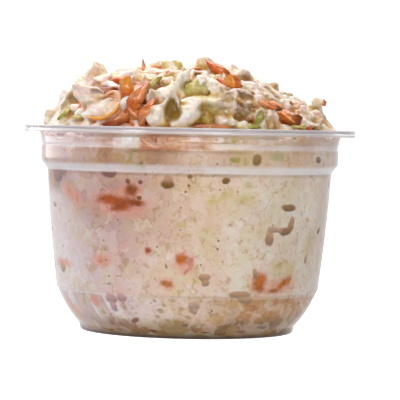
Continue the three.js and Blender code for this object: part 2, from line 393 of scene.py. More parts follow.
class Nodes:
    """The nodes of a material or of the world, with short ways to add and join them."""

    def __init__(self, owner):
        owner.use_nodes = True
        self.tree = owner.node_tree

    def set(self, socket, value):
        """Joins another node's socket to this one, or gives it a number or a colour."""
        if isinstance(value, bpy.types.NodeSocket):
            self.tree.links.new(value, socket)
        else:
            socket.default_value = (*value, 1) if socket.type == "RGBA" else value

    def add(self, kind, **values):
        """A new node, with values for its settings and for its inputs (_ stands for a space)."""
        made = self.tree.nodes.new("ShaderNode" + kind)
        for key, value in values.items():
            socket = made.inputs.get(key.replace("_", " "))
            if socket is not None:
                self.set(socket, value)
            else:
                setattr(made, key, value)
        return made

    def dress(self, **values):
        """Sets the inputs of the material's shader."""
        for key, value in values.items():
            self.set(self.tree.nodes["Principled BSDF"].inputs[key.replace("_", " ")], value)

    def joined(self, kind, operation, *values):
        made = self.add(kind, operation=operation)
        for socket, value in zip(made.inputs, values):
            self.set(socket, value)
        return made.outputs[0]

    def times(self, first, second):
        return self.joined("Math", "MULTIPLY", first, second)

    def mixed(self, factor, first, second, blend="MIX"):
        """A colour mix; each of first and second is a socket or a plain colour."""
        mix = self.add("Mix", data_type="RGBA", blend_type=blend)
        for i, value in ((0, factor), (6, first), (7, second)):
            self.set(mix.inputs[i], value)
        return mix.outputs[2]

    def between(self, value, low, high, out_low=0.0, out_high=1.0):
        """Runs smoothly from out_low to out_high as the value goes from low to high."""
        step = self.add("MapRange", interpolation_type="SMOOTHSTEP", Value=value,
                        From_Min=low, From_Max=high, To_Min=out_low, To_Max=out_high)
        return step.outputs["Result"]

    def place(self):
        return self.add("TexCoord").outputs["Object"]

    def height(self, place):
        return self.add("SeparateXYZ", Vector=place).outputs["Z"]

    def painted(self, name, output="Color"):
        """What was painted on the mesh's points under this name; Fac for a number."""
        return self.add("Attribute", attribute_name=name).outputs[output]

    def noise(self, place, scale, detail=2.0, roughness=0.5, output="Fac"):
        made = self.add("TexNoise", Vector=place, Scale=scale, Detail=detail, Roughness=roughness)
        return made.outputs[output]

    def cells(self, place, scale, feature="F1"):
        return self.add("TexVoronoi", feature=feature, Vector=place, Scale=scale).outputs

    def channels(self, colour):
        return self.add("SeparateColor", Color=colour).outputs

    def bump(self, strength, distance, height):
        return self.add("Bump", Strength=strength, Distance=distance, Height=height).outputs["Normal"]

    def inside(self, name, wobble, amount, crisp):
        """1 inside the spots whose borders the attribute draws at 1, with an uneven edge."""
        field = self.joined("Math", "MULTIPLY_ADD", wobble, amount, self.painted(name, "Fac"))
        edge = 1 + amount / 2
        return self.between(field, edge - crisp, edge + crisp, 1.0, 0.0)

    def outlined_bits(self, place, scale, width, presence):
        """Thin broken outlines of pressed bits, and random numbers for each bit."""
        edges = self.cells(place, scale, "DISTANCE_TO_EDGE")["Distance"]
        outline = self.between(edges, 0.1 * width, 1.3 * width, 1.0, 0.0)
        broken = self.between(self.noise(place, 1.1 * scale), presence, presence + 0.12)
        return self.times(outline, broken), self.channels(self.cells(place, scale)["Color"])

    def wandering_lines(self, place, scale, width, presence):
        """Thin wandering lines, as the edges of pressed leaves leave them, broken here and there."""
        away = self.joined("Math", "SUBTRACT", self.noise(place, scale, 1.0), 0.5)
        line = self.between(self.joined("Math", "ABSOLUTE", away), 0.2 * width, 1.2 * width, 1.0, 0.0)
        broken = self.between(self.noise(place, 1.3 * scale), presence, presence + 0.1)
        return self.times(line, broken)

    def by_height(self, place, low, high, rows):
        """A colour for each height between low and high, all in millimetres."""
        share = self.add("MapRange", Value=self.height(place), From_Min=low * MM, From_Max=high * MM)
        made = self.add("ValToRGB", Fac=share.outputs["Result"])
        stops = made.color_ramp.elements
        while len(stops) < len(rows):
            stops.new(0.5)
        for stop, (level, colour) in zip(stops, rows):
            stop.position = (level - low) / (high - low)
            stop.color = (*colour, 1)
        return made.outputs["Color"]


def new_material(name):
    material = bpy.data.materials.new(name)
    return material, Nodes(material)


# The rolled lip's tint by height, painted light and shade: milky white where it is thick, which also stands
# for the highlights along its roundings, and deeper in its groove and underneath, as painted shade.
LIP_LIGHT_AND_SHADE = [
    (69.4, (1.0, 1.0, 1.0)),
    (69.6, (0.74, 0.64, 0.64)),
    (69.9, (1.0, 1.0, 1.0)),
    (70.4, (1.0, 0.99, 1.0)),
    (70.8, (0.60, 0.57, 0.62)),
    (71.2, (0.66, 0.64, 0.70)),
    (71.5, (1.0, 1.0, 1.0)),
]
FOOT_SHADE, POOLED_JUICE_AND_SHADE = (0.045, 0.022, 0.014), (0.97, 0.88, 0.73)


def plastic(name, clear, edge, roughness, transmission):
    """Thin moulded plastic: a little uneven, and deeper in colour where it is seen edge on, a painted shade
    for its dark edges; warmer at the bottom with pooled juice and painted shade, and with a painted dark line
    of shade along its foot.
    """
    material, made = new_material(name)
    place = made.place()
    height = made.height(place)
    # Painted shade: the wall darker where it is seen edge on.
    edge_on = made.between(made.add("LayerWeight", Blend=0.5).outputs["Facing"], 0.84, 0.98)
    tinted = made.mixed(1.0, made.by_height(place, 69, 72, LIP_LIGHT_AND_SHADE), clear, "MULTIPLY")
    # Warmer and darker at the bottom: partly juice pooled there, partly painted shade.
    pooled_and_shaded = made.between(height, 0.005, 0.010, 1.0, 0.0)
    # Painted shade: the dark line under the foot.
    foot = made.between(height, 0.0006, 0.0024, 1.0, 0.0)
    colour = made.mixed(pooled_and_shaded, made.mixed(edge_on, tinted, edge), POOLED_JUICE_AND_SHADE, "MULTIPLY")
    made.dress(
        Base_Color=made.mixed(foot, colour, FOOT_SHADE), Roughness=roughness, IOR=1.5,
        Transmission_Weight=transmission, Normal=made.bump(0.3, 0.0004, made.noise(place, 70.0, 1.5)))
    return material


# How the wall's mouldings light and shade what is behind them: height, share of light, of dark.
MOULDINGS = [
    (55.2, 0.0, 0.0),
    (55.8, 0.0, 0.5),
    (56.3, 0.1, 0.5),
    (56.8, 0.9, 0.0),
    (58.6, 0.85, 0.0),
    (59.6, 0.0, 0.18),
    (62.6, 0.0, 0.22),
    (63.9, 0.0, 0.6),
    (64.4, 0.0, 0.35),
    (64.9, 0.65, 0.0),
    (65.9, 0.5, 0.0),
    (66.8, 0.0, 0.05),
]


def under_mouldings(made, place, colour):
    """The colour with the light and dark rings that the steps of the wall lay over it."""
    rows = [(level, (light, dark, 0)) for level, light, dark in MOULDINGS]
    light, dark = made.channels(made.by_height(place, 55, 67, rows))[:2]
    uneven = made.between(made.noise(place, 60.0, 3.0), 0.3, 0.6, 0.55, 1.0)
    shine = made.painted("shine", "Fac")
    light = made.times(made.times(light, uneven), shine)
    dark = made.times(made.times(dark, uneven), made.between(shine, 0.7, 1.0, 1.0, 0.5))
    colour = made.mixed(light, colour, (1.0, 0.95, 0.98))
    return made.mixed(dark, colour, (0.40, 0.28, 0.22), "MULTIPLY")


def slaw_material():
    """Dressing packed with pressed cabbage bits, seen through the wall."""
    material, made = new_material("packed_slaw")
    place = made.place()
    warp = made.noise(place, 330.0, output="Color")
    bits = made.joined("VectorMath", "MULTIPLY_ADD", warp, (0.003, 0.003, 0.003), place)

    large, number = made.outlined_bits(bits, 230.0, 0.14, 0.56)
    small, _ = made.outlined_bits(bits, 430.0, 0.18, 0.62)
    leaf = made.wandering_lines(place, 190.0, 0.045, 0.54)
    stalk = made.wandering_lines(bits, 300.0, 0.055, 0.55)
    nerve = made.wandering_lines(bits, 390.0, 0.07, 0.56)
    yellow = made.between(number[0], 0.70, 0.78)
    pale = made.between(number[1], 0.66, 0.74)
    smudge = made.between(made.noise(bits, 340.0), 0.55, 0.68)
    clump = made.between(made.noise(place, 120.0), 0.5, 0.66)
    colour = made.mixed(made.times(yellow, 0.2), made.painted("tint"), (0.76, 0.66, 0.26))
    colour = made.mixed(made.times(pale, 0.25), colour, (0.99, 0.93, 0.88))
    shown = made.painted("shown", "Fac")
    for strokes, share, tint in (
            (made.times(smudge, clump), 0.6, (0.72, 0.58, 0.30)),
            (large, 0.30, (0.62, 0.44, 0.22)),
            (small, 0.16, (0.60, 0.44, 0.24)),
            (leaf, 0.50, (0.64, 0.50, 0.24)),
            (stalk, 0.52, (0.66, 0.56, 0.20)),
            (nerve, 0.30, (0.62, 0.46, 0.24))):
        colour = made.mixed(made.times(made.times(strokes, share), shown), colour, tint, "MULTIPLY")

    cells = made.cells(place, 420.0)
    dot = made.between(cells["Distance"], 0.12, 0.2, 1.0, 0.0)
    rare = made.between(made.channels(cells["Color"])[0], 0.92, 0.93)
    colour = made.mixed(made.times(made.times(dot, rare), 0.65), colour, (0.22, 0.13, 0.07))
    wobble = made.noise(place, 520.0, 3.0)
    mottled = made.between(made.noise(place, 300.0), 0.35, 0.65)
    blush = made.inside("blush", wobble, 1.4, 0.8)
    colour = made.mixed(made.times(blush, 0.8), colour, (0.86, 0.38, 0.28))
    colour = made.mixed(made.times(made.times(blush, small), 0.7), colour, (0.50, 0.12, 0.03))
    # The air pockets' colours are painted shade; the carrot spots' are their own.
    for name, uneven, crisp, share, dappling, dapple in (
            ("carrot", 1.3, 0.55, 0.94, 0.8, (0.62, 0.56, 0.5)),
            ("pocket", 0.5, 0.25, 0.95, 0.6, (0.86, 0.82, 0.72))):
        dappled = made.mixed(made.times(mottled, dappling), made.painted(name + "_tint"), dapple, "MULTIPLY")
        colour = made.mixed(made.times(made.inside(name, wobble, uneven, crisp), share), colour, dappled)
    made.dress(
        Base_Color=under_mouldings(made, place, colour), Roughness=0.5, Specular_IOR_Level=0.05,
        Subsurface_Weight=0.4, Subsurface_Radius=(1.0, 0.55, 0.3), Subsurface_Scale=0.0008,
        Normal=made.bump(0.25, 0.0003, made.noise(place, 800.0, 3.0)))
    return material


# Finish of what is coated in dressing: its material's name, how deep light passes in, roughness,
# gloss of the coat, scale of the streaks of dressing on it, their colour and share.
COATINGS = {
    "cabbage": ("coated_cabbage", 0.0008, 0.34, 0.5, 420.0, (0.93, 0.84, 0.72), 0.28),
    "carrot": ("coated_carrot", 0.0006, 0.3, 0.7, 460.0, (0.96, 0.50, 0.16), 0.3),
    "greens": ("coated_greens", 0.0012, 0.30, 0.6, 380.0, (0.84, 0.78, 0.52), 0.4),
    "dressing": ("dressing", 0.0010, 0.16, 1.0, 300.0, (0.96, 0.92, 0.82), 0.4),
}


def coated(piece, slot):
    """Finishes a piece as food under dressing: its own tint, streaks, and light passing in."""
    name, depth, roughness, coat, scale, streak, amount = COATINGS[slot]
    material, made = new_material(name)
    place = made.place()
    share = made.between(made.noise(place, scale, 4.0, 0.6), 0.5, 0.7, 0.0, amount)
    made.dress(
        Base_Color=made.mixed(share, made.painted("tint"), streak), Roughness=roughness,
        Specular_IOR_Level=0.35, Subsurface_Weight=0.6, Subsurface_Radius=(1.0, 0.6, 0.32),
        Subsurface_Scale=depth, Coat_Weight=coat, Coat_Roughness=0.08,
        Normal=made.bump(0.6, 0.0004, made.noise(place, 2.4 * scale, 3.0)))
    return finished(piece, material)


# ------------------------------------------------------------------ pieces

def plastic_piece(name, line, material):
    """A spun piece of clear plastic, which lets light through to what is behind it."""
    piece = spun(name, line, TUB_TURNS)
    piece.visible_shadow = False
    piece.visible_diffuse = False
    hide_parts("tub")
    return finished(piece, material)


def make_tub():
    base = rounded([
        (0, RECESS_HEIGHT, 0),
        (RECESS_RADIUS, RECESS_HEIGHT, 0.6),
        (FOOT_INNER_RADIUS, 0, 0),
    ])
    inner = inset([p for p in WALL_LINE if p[1] > HEEL_HEIGHT], WALL)
    floor = [(FOOT_RADIUS - 1.6, RECESS_HEIGHT + WALL), (0, RECESS_HEIGHT + WALL)]
    plastic_piece("tub_wall", base + WALL_LINE[1:] + inner[::-1] + floor,
                  plastic("clear_plastic", (0.985, 0.975, 0.985), (0.50, 0.43, 0.44), 0.11, 1.0))

    lip = FLANGE_RADIUS - LIP_WIDTH
    mouth = inner[-1][0]
    rim = rounded([
        (NECK_TOP_RADIUS, FLANGE_UNDERSIDE - 0.6, 0),
        (NECK_TOP_RADIUS, FLANGE_UNDERSIDE, 0.4),
        (lip, FLANGE_UNDERSIDE, 0.3),
        (lip, LIP_BOTTOM, 0.25),
        (FLANGE_RADIUS, LIP_BOTTOM, 0.25),
        (FLANGE_RADIUS, LIP_GROOVE - 0.55, 0.3),
        (FLANGE_RADIUS - 0.3, LIP_GROOVE, 0.3),
        (FLANGE_RADIUS, LIP_GROOVE + 0.45, 0.3),
        (FLANGE_RADIUS, TUB_HEIGHT, 0.4),
        (mouth, TUB_HEIGHT, 0.7),
        (mouth, FLANGE_UNDERSIDE - 0.6, 0),
        (NECK_TOP_RADIUS, FLANGE_UNDERSIDE - 0.6, 0),
    ])
    plastic_piece("tub_rim", rim,
                  plastic("milky_rim", (0.97, 0.96, 0.98), (0.66, 0.62, 0.68), 0.1, 0.64))


# Colours of the spots behind the wall: the carrot spots' are the carrot's own colours; the air pockets' are
# the dressing darkened with painted shade, as the hollows lie in shadow.
SPOT_SHADES = {
    "soot": (0.13, 0.04, 0.008),
    "olive": (0.24, 0.11, 0.012),
    "umber": (0.28, 0.12, 0.09),
    "plum": (0.34, 0.15, 0.15),
    "tan": (0.38, 0.21, 0.09),
    "sand": (0.56, 0.34, 0.21),
    "fawn": (0.60, 0.40, 0.29),
    "rose": (0.62, 0.36, 0.39),
    "rust": (0.36, 0.085, 0.004),
    "red": (0.50, 0.105, 0.016),
    "orange": (0.70, 0.20, 0.016),
    "amber": (0.66, 0.23, 0.06),
    "peach": (0.76, 0.36, 0.26),
}

# Spots behind the wall: turn from the front in degrees, height over the table, their own width and
# height, lean in degrees, and a shade where the spot has one. First the air pockets.
POCKETS = [
    (-32.6, 56.2, 6.0, 3.2, 0, "plum"),
    (-65.6, 54.5, 6.7, 4.2, 0, "plum"),
    (-8.1, 52.7, 4.7, 2.8, 0, "olive"),
    (-8.0, 54.4, 3.0, 3.0, 0, "sand"),
    (0.5, 55.5, 1.8, 1.5, 0, "tan"),
    (0.1, 52.5, 1.1, 1.2, 0, "tan"),
    (-24.3, 53.5, 1.8, 1.7, 0, "umber"),
    (-19.1, 53.3, 1.6, 1.5, 0, "umber"),
    (-19.5, 48.0, 1.9, 1.5, 0, "olive"),
    (-17.8, 59.7, 1.1, 1.1, 0, "tan"),
    (-12.8, 59.8, 1.1, 1.1, 0, "sand"),
    (-8.5, 25.4, 0.9, 2.0, 12, "sand"),
    (-34.6, 13.5, 4.5, 3.1, 0, "rose"),
    (-34.4, 10.8, 2.5, 4.1, 10, "rose"),
    (-28.8, 14.0, 3.7, 3.0, 0, "rose"),
    (3.3, 12.1, 3.7, 2.9, 0, "fawn"),
    (3.7, 10.2, 2.0, 2.4, 0, "fawn"),
    (-17.2, 2.4, 3.0, 1.7, 0, "soot"),
    (-25.0, 6.2, 3.4, 1.5, 20, "umber"),
    (-31.0, 6.1, 2.4, 1.2, -10, "fawn"),
    (25.8, 61.5, 3.2, 4.0, -14, "tan"),
    (14.4, 54.3, 2.4, 2.3, 0, "olive"),
    (44.2, 45.3, 6.6, 2.4, 0, "tan"),
    (46.4, 40.9, 2.5, 2.8, -6, "sand"),
    (45.9, 39.1, 2.9, 3.1, 14, "sand"),
    (43.2, 37.3, 5.1, 2.7, 10, "tan"),
    (39.9, 37.7, 4.0, 1.7, -10, "fawn"),
    (36.2, 38.0, 4.6, 2.0, 0, "fawn"),
    (35.0, 35.0, 3.5, 5.1, 0, "sand"),
    (7.3, 21.8, 4.1, 2.3, 0, "sand"),
    (7.8, 19.9, 2.4, 2.7, 0, "sand"),
    (29.3, 23.1, 1.7, 3.7, 18, "sand"),
    (23.1, 16.0, 8.1, 2.2, 0, "sand"),
    (25.7, 14.1, 5.6, 2.4, -10, "sand"),
    (29.6, 2.4, 4.3, 1.9, 0, "umber"),
    (12.5, 34.2, 0.9, 0.9, 0, "tan"),
    (12.1, 31.4, 0.9, 0.9, 0, "tan"),
    (58.7, 27.5, 2.2, 3.1, 0, "fawn"),
    (15.8, 54.6, 0.7, 0.7, 0, "tan"),
    (12.2, 51.3, 0.6, 0.6, 0, "tan"),
    (19.5, 50.7, 0.7, 0.7, 0, "tan"),
    (-39.4, 4.8, 2.2, 1.4, 0, "plum"),
    (-28.8, 40.3, 0.7, 0.6, 0, "umber"),
    (-3.0, 37.6, 0.7, 0.7, 0, "tan"),
    (-36.3, 33.2, 0.8, 0.7, 0, "umber"),
    (-12.2, 31.7, 0.8, 0.7, 0, "umber"),
    (11.5, 10.3, 0.7, 0.7, 0, "tan"),
    (10.5, 27.7, 0.6, 0.6, 0, "tan"),
    (14.6, 27.1, 0.6, 0.6, 0, "tan"),
    (57.7, 61.7, 3.2, 2.4, 0, "umber"),
    (-0.4, 5.1, 2.4, 1.0, 10, "umber"),
    (-36.3, 2.2, 3.8, 1.0, 0, "soot"),
    (9.9, 2.3, 4.1, 1.0, 0, "soot"),
    (41.5, 4.1, 4.6, 1.0, -8, "umber"),
    (-1.1, 50.4, 0.9, 0.9, 0, "olive"),
    (-0.3, 57.6, 0.8, 0.7, 0, "tan"),
]
CARROT_SPOTS = [
    (-28.6, 46.7, 15.7, 3.4, -3, "red"),
    (-22.8, 50.7, 4.4, 3.7, 0, "rust"),
    (-20.4, 46.2, 4.6, 2.0, 0, "rust"),
    (-27.8, 44.7, 7.6, 2.7, 5, "red"),
    (-33.7, 47.6, 5.7, 2.0, 12, "red"),
    (-56.0, 49.6, 3.1, 1.4, -40, "peach"),
    (-50.4, 47.1, 1.1, 2.4, 20, "peach"),
    (31.9, 19.8, 4.8, 6.1, -8, "orange"),
    (44.5, 19.3, 6.2, 2.0, 40, "orange"),
    (-16.1, 30.4, 2.0, 2.1, 0, "red"),
    (-2.4, 27.9, 3.7, 3.3, 0, "orange"),
    (0.5, 24.2, 3.7, 1.1, 45, "peach"),
    (-8.5, 19.3, 3.7, 2.1, -10, "amber"),
    (-38.4, 26.0, 1.7, 0.8, 20, "peach"),
    (-35.2, 26.5, 1.0, 0.8, 0, "peach"),
    (1.6, 26.6, 1.5, 4.3, -10, "peach"),
    (48.0, 20.2, 3.6, 1.7, 50, "amber"),
    (39.7, 17.0, 5.3, 1.4, 0, "amber"),
]
BLUSH_SPOTS = [
    (-55.1, 49.0, 9.6, 4.8, -30),
    (-49.8, 46.4, 3.7, 5.5, 20),
    (-37.8, 26.4, 7.7, 4.4, 0),
    (-28.6, 45.7, 20.7, 8.1, -3),
    (-66.6, 24.3, 14.0, 3.1, 0),
    (42.2, 18.6, 14.7, 5.8, 12),
    (-8.1, 19.3, 5.4, 3.7, -10),
    (-1.2, 26.5, 6.7, 6.7, 0),
    (-23.3, 50.5, 7.3, 6.0, 0),
    (-40.8, 58.2, 8.9, 1.7, 0),
    (-44.2, 12.4, 4.8, 4.1, 20),
    (-14.5, 67.5, 10.3, 1.7, 0),
    (-68.6, 8.9, 13.3, 6.3, -25),
]
GREEN_SPOTS = [
    (-21.7, 62.3, 6.8, 1.4, 58),
    (34.6, 62.6, 6.1, 2.7, 0),
    (22.2, 47.3, 8.7, 5.7, 10),
    (7.3, 36.4, 6.1, 4.0, 0),
    (43.0, 24.1, 10.2, 7.5, 0),
    (61.0, 31.6, 5.7, 6.9, 0),
    (36.3, 10.0, 5.1, 4.1, 0),
    (19.0, 9.9, 4.6, 2.0, 20),
    (14.8, 6.3, 4.2, 2.4, 0),
    (5.5, 4.5, 5.8, 2.0, 0),
    (-33.8, 4.0, 6.2, 1.9, 10),
    (23.9, 53.1, 3.3, 2.7, 0),
    (-2.3, 39.3, 4.0, 2.0, 10),
    (-6.4, 50.9, 3.4, 1.7, 0),
    (-14.7, 3.0, 4.2, 1.7, 0),
    (16.9, 61.4, 3.5, 1.7, 0),
    (10.4, 47.9, 4.8, 2.7, 20),
    (73.3, 1.7, 22.0, 2.1, 0),
    (38.1, 4.9, 6.1, 2.0, 0),
    (-18.3, 59.1, 2.5, 3.0, 50),
    (-2.8, 6.2, 4.1, 1.7, 0),
    (5.4, 20.9, 3.4, 3.3, 0),
    (19.1, 43.3, 5.7, 4.0, 0),
    (15.5, 49.6, 6.2, 3.3, 20),
]


def scattered_spots(rng, count, sizes, front_clear, flattest, shades):
    """More spots round the sides and the back, clear of the ones that are listed."""
    spots = []
    while len(spots) < count:
        turn = rng.uniform(-180, 180)
        if abs(turn) < front_clear:
            continue
        width = rng.uniform(*sizes)
        spots.append((turn, rng.uniform(5, 62), width, width * rng.uniform(flattest, 1.0),
                      rng.uniform(-50, 50), rng.choice(shades)))
    return spots


def spot_field(turn, height, radius, spots):
    """Below 1 inside the nearest spot, up to 2 away from all; how high in it a point is; its shade."""
    field, rises, shades = np.full(len(turn), 2.0), np.zeros(len(turn)), np.zeros((len(turn), 3))
    total = np.full(len(turn), 1e-9)
    for centre, level, width, tall, lean, *shade in spots:
        along = np.radians((turn - centre + 180) % 360 - 180) * radius
        rise = height - level
        near = np.nonzero(np.abs(along) + np.abs(rise) < 2 * (width + tall))[0]
        c, s = math.cos(math.radians(lean)), math.sin(math.radians(lean))
        u = (c * along[near] + s * rise[near]) / (width / 2)
        v = (-s * along[near] + c * rise[near]) / (tall / 2)
        reach = (np.abs(u) ** SPOT_SQUARENESS + np.abs(v) ** SPOT_SQUARENESS) ** (1 / SPOT_SQUARENESS)
        closeness = np.exp(-4 * reach)
        total[near] += closeness
        rises[near] += closeness * rise[near] / (max(tall, 1.5) / 2)
        for name in shade:
            shades[near] += closeness[:, None] * SPOT_SHADES[name]
        gap = np.clip(0.5 + (field[near] - reach) / 0.9, 0, 1)
        field[near] = field[near] * (1 - gap) + reach * gap - 0.45 * gap * (1 - gap)
    return field, rises / total, shades / total[:, None]


def slaw_tint(points, green):
    """The dressing's colour: pink to one side, greener clouds, browner towards the base, with painted
    reflections and painted shade laid in.
    """
    x, height = points[:, 0], points[:, 2]
    turn = np.arctan2(x, -points[:, 1])
    rosy = smooth(4, -38, x + 9 * ripple(points, 16, 31))
    clouds = 0.35 * smooth(0.0, 0.9, ripple(points, 10, 32)) * (1 - rosy)
    neck = smooth(LEDGE_HEIGHT - 0.1, LEDGE_HEIGHT + 0.4, height)
    bare = neck * smooth(-34, -26, x) * smooth(12, 2, x)
    shade = np.exp(-((x + 26) / 19) ** 2 - ((height - 48.5) / 14) ** 2)
    band = smooth(-36, -30, x) * smooth(0, -12, x) * smooth(59, 60, height)
    corner = smooth(-38, -46, x) * smooth(47, 54, height) * smooth(58, 56, height)
    bowl = smooth(CREASE_HEIGHT, CREASE_HEIGHT - 1.1, height)
    left_bowl, right_bowl = bowl * smooth(-14, -28, x), bowl * smooth(-6, 22, x)
    crease = np.exp(-((height - CREASE_HEIGHT) / 0.35) ** 2)
    streak = smooth(0.0, 0.9, np.sin(25 * turn + 0.3 * height + 2 * ripple(points, 9, 37)))
    thread = smooth(0.9, 1.0, np.sin(38 * turn + 0.2 * height))
    strand = smooth(0.55, 0.95, np.sin(26 * turn + 1.1 * height + 3.5 * ripple(points, 5, 40)))
    fleck = smooth(0.45, 0.8, ripple(points * np.array((1.0, 1.0, 1.6)), 1.7, 42))
    low = smooth(9.0, 3.5, height + 1.2 * ripple(points, 7, 34))
    brown = smooth(-0.7, 0.7, ripple(points, 5, 39))
    juice_and_shade = laid_over(np.array((0.31, 0.14, 0.02)), brown, (0.20, 0.10, 0.005))

    tint = np.array((0.88, 0.68, 0.52))
    for share, colour in (
            (rosy, (0.77, 0.58, 0.61)),
            (0.9 * smooth(6, 18, x) * smooth(48, 42, x) * smooth(60, 50, height), (1.0, 0.91, 0.79)),
            (0.6 * smooth(-16, -4, x) * smooth(14, 4, x) * smooth(38, 28, height), (0.96, 0.82, 0.70)),
            (np.clip(0.8 * smooth(1.8, 0.3, green) + clouds, 0, 1), (0.75, 0.63, 0.27)),
            (0.5 * smooth(0.0, 0.8, ripple(points, 7, 33)), (0.92, 0.77, 0.67)),
            (0.5 * smooth(0.2, 1.0, ripple(points, 9, 36)) * smooth(20, -20, x), (0.80, 0.48, 0.42)),
            (0.8 * neck * smooth(-24, -40, x), (0.85, 0.70, 0.71)),
            # Painted shade: the hollow behind the bare neck in dark brown.
            (0.95 * bare, (0.52, 0.18, 0.07)),
            (0.85 * bare * smooth(66.9, 67.9, height + 0.7 * ripple(points, 5, 38)), (0.94, 0.56, 0.40)),
            (0.7 * neck * smooth(6, 14, x) * smooth(38, 30, x), (0.74, 0.55, 0.44)),
            (0.7 * neck * smooth(30, 38, x), (0.62, 0.42, 0.34)),
            # Painted reflection: a whitish veil over the lower left of the wall.
            (0.85 * smooth(-22, -44, x) * smooth(54, 44, height), (0.98, 0.93, 0.97)),
            (0.85 * shade * (1 - neck), (0.50, 0.31, 0.27)),
            (0.72 * band * (1 - neck), (0.50, 0.28, 0.12)),
            (corner * (1 - neck), (0.22, 0.10, 0.09)),
            # Painted reflection: a greyer veil along the right edge of the wall.
            (0.4 * smooth(38, 46, x), (0.80, 0.70, 0.68)),
            (0.6 * bowl * smooth(-2, -12, x), (0.97, 0.87, 0.89)),
            (0.75 * left_bowl * (1 - streak), (0.74, 0.56, 0.58)),
            # Painted reflection: pale streaks down the left of the bowl.
            (0.7 * left_bowl * streak, (1.0, 0.96, 1.0)),
            (0.55 * left_bowl * thread, (0.50, 0.24, 0.22)),
            # Painted highlight along the crease on the left, and painted shade along it towards the right.
            (0.85 * crease * smooth(-14, -22, x), (0.99, 0.95, 0.98)),
            (0.6 * crease * smooth(-16, 4, x), (0.44, 0.28, 0.18)),
            # Painted shade: the right of the bowl darker and browner.
            (0.88 * right_bowl, (0.60, 0.28, 0.075)),
            (0.5 * right_bowl * strand, (0.92, 0.72, 0.50)),
            (0.6 * fleck * bowl * smooth(-24, -10, x), (0.40, 0.24, 0.045)),
            # Browner and darker towards the base: partly juice, partly painted shade.
            (0.97 * low * smooth(-36, -26, x), juice_and_shade),
            (0.75 * low * smooth(-26, -36, x), (0.44, 0.29, 0.30))):
        tint = laid_over(tint, share, colour)
    return tint


# What lies behind the bare neck in front, lumps of dressing painted lighter as lit and the gaps between them
# painted dark as shade: across, height, wide, tall, colour, share.
NECK_PATCHES = [
    (-26.6, 67.0, 7, 2.4, (0.42, 0.26, 0.20), 0.7),
    (-21.5, 69.4, 8, 1.8, (0.52, 0.24, 0.19), 0.7),
    (-20.5, 66.5, 11, 2.8, (0.99, 0.92, 0.92), 0.85),
    (-11.3, 65.9, 12, 3.6, (0.54, 0.20, 0.07), 0.95),
    (-3.0, 65.7, 10, 3.0, (0.62, 0.29, 0.13), 0.9),
    (4.5, 65.7, 9, 3.0, (0.56, 0.27, 0.12), 0.85),
    (-8.0, 68.8, 14, 2.6, (1.0, 0.72, 0.54), 0.85),
    (0.5, 69.3, 7, 2.2, (0.74, 0.36, 0.24), 0.7),
    (7.0, 69.4, 6, 1.8, (1.0, 0.72, 0.62), 0.8),
    (7.0, 67.3, 6, 2.0, (0.60, 0.32, 0.18), 0.8),
    (17.0, 68.2, 10, 3.4, (0.95, 0.80, 0.68), 0.75),
    (27.0, 68.2, 9, 3.4, (0.74, 0.58, 0.48), 0.6),
]


def behind_neck(tint, points):
    """Lays the patches behind the bare neck, with their painted light and shade, over the colours of the slaw
    and of the heap's foot.
    """
    front = smooth(-30, -38, points[:, 1])
    for across, height, wide, tall, colour, amount in NECK_PATCHES:
        away = np.hypot((points[:, 0] - across) / (wide / 2), (points[:, 2] - height) / (tall / 2))
        share = amount * front * smooth(1.4, 0.7, away + 0.2 * ripple(points, 1.5, 67))
        tint = laid_over(tint, share, colour)
    return tint


def leaf_strokes(tint, height, green):
    """Lays the bits of green leaf that are pressed against the band over its colour."""
    return laid_over(tint, 0.8 * smooth(1.35, 0.6, green) * smooth(56, 57.5, height), (0.36, 0.36, 0.05))


def strokes_shown(points):
    """How far the strokes show: the wall's left and its far edges shine too much for them."""
    x, height = points[:, 0], points[:, 2]
    return (1 - 0.75 * smooth(-29, -43, x) * smooth(58, 52, height)) * (1 - 0.35 * smooth(38, 46, x))


def ring_shine(points):
    """How far the wall's steps shine over the slaw: less in the middle, and least over the bare neck."""
    x, height = points[:, 0], points[:, 2]
    shine = 0.7 + 0.3 * np.maximum(smooth(-14, -30, x), smooth(10, 26, x))
    bare = smooth(-22, -17, x) * smooth(9, 3, x) * smooth(LEDGE_HEIGHT - 0.5, LEDGE_HEIGHT + 0.1, height)
    return shine * (1 - bare)


def pocket_shading(shades, field, rises):
    """Painted shade in the air pockets: lighter above than below, as light falls in from above, and deeper
    along their lower edge.
    """
    lit = 0.92 + 0.38 * smooth(-0.5, 0.9, rises)
    edge = 0.25 * smooth(0.45, 0.85, field) * smooth(0.3, -0.5, rises)
    return np.minimum(shades * (lit * (1 - edge))[:, None], 0.9)


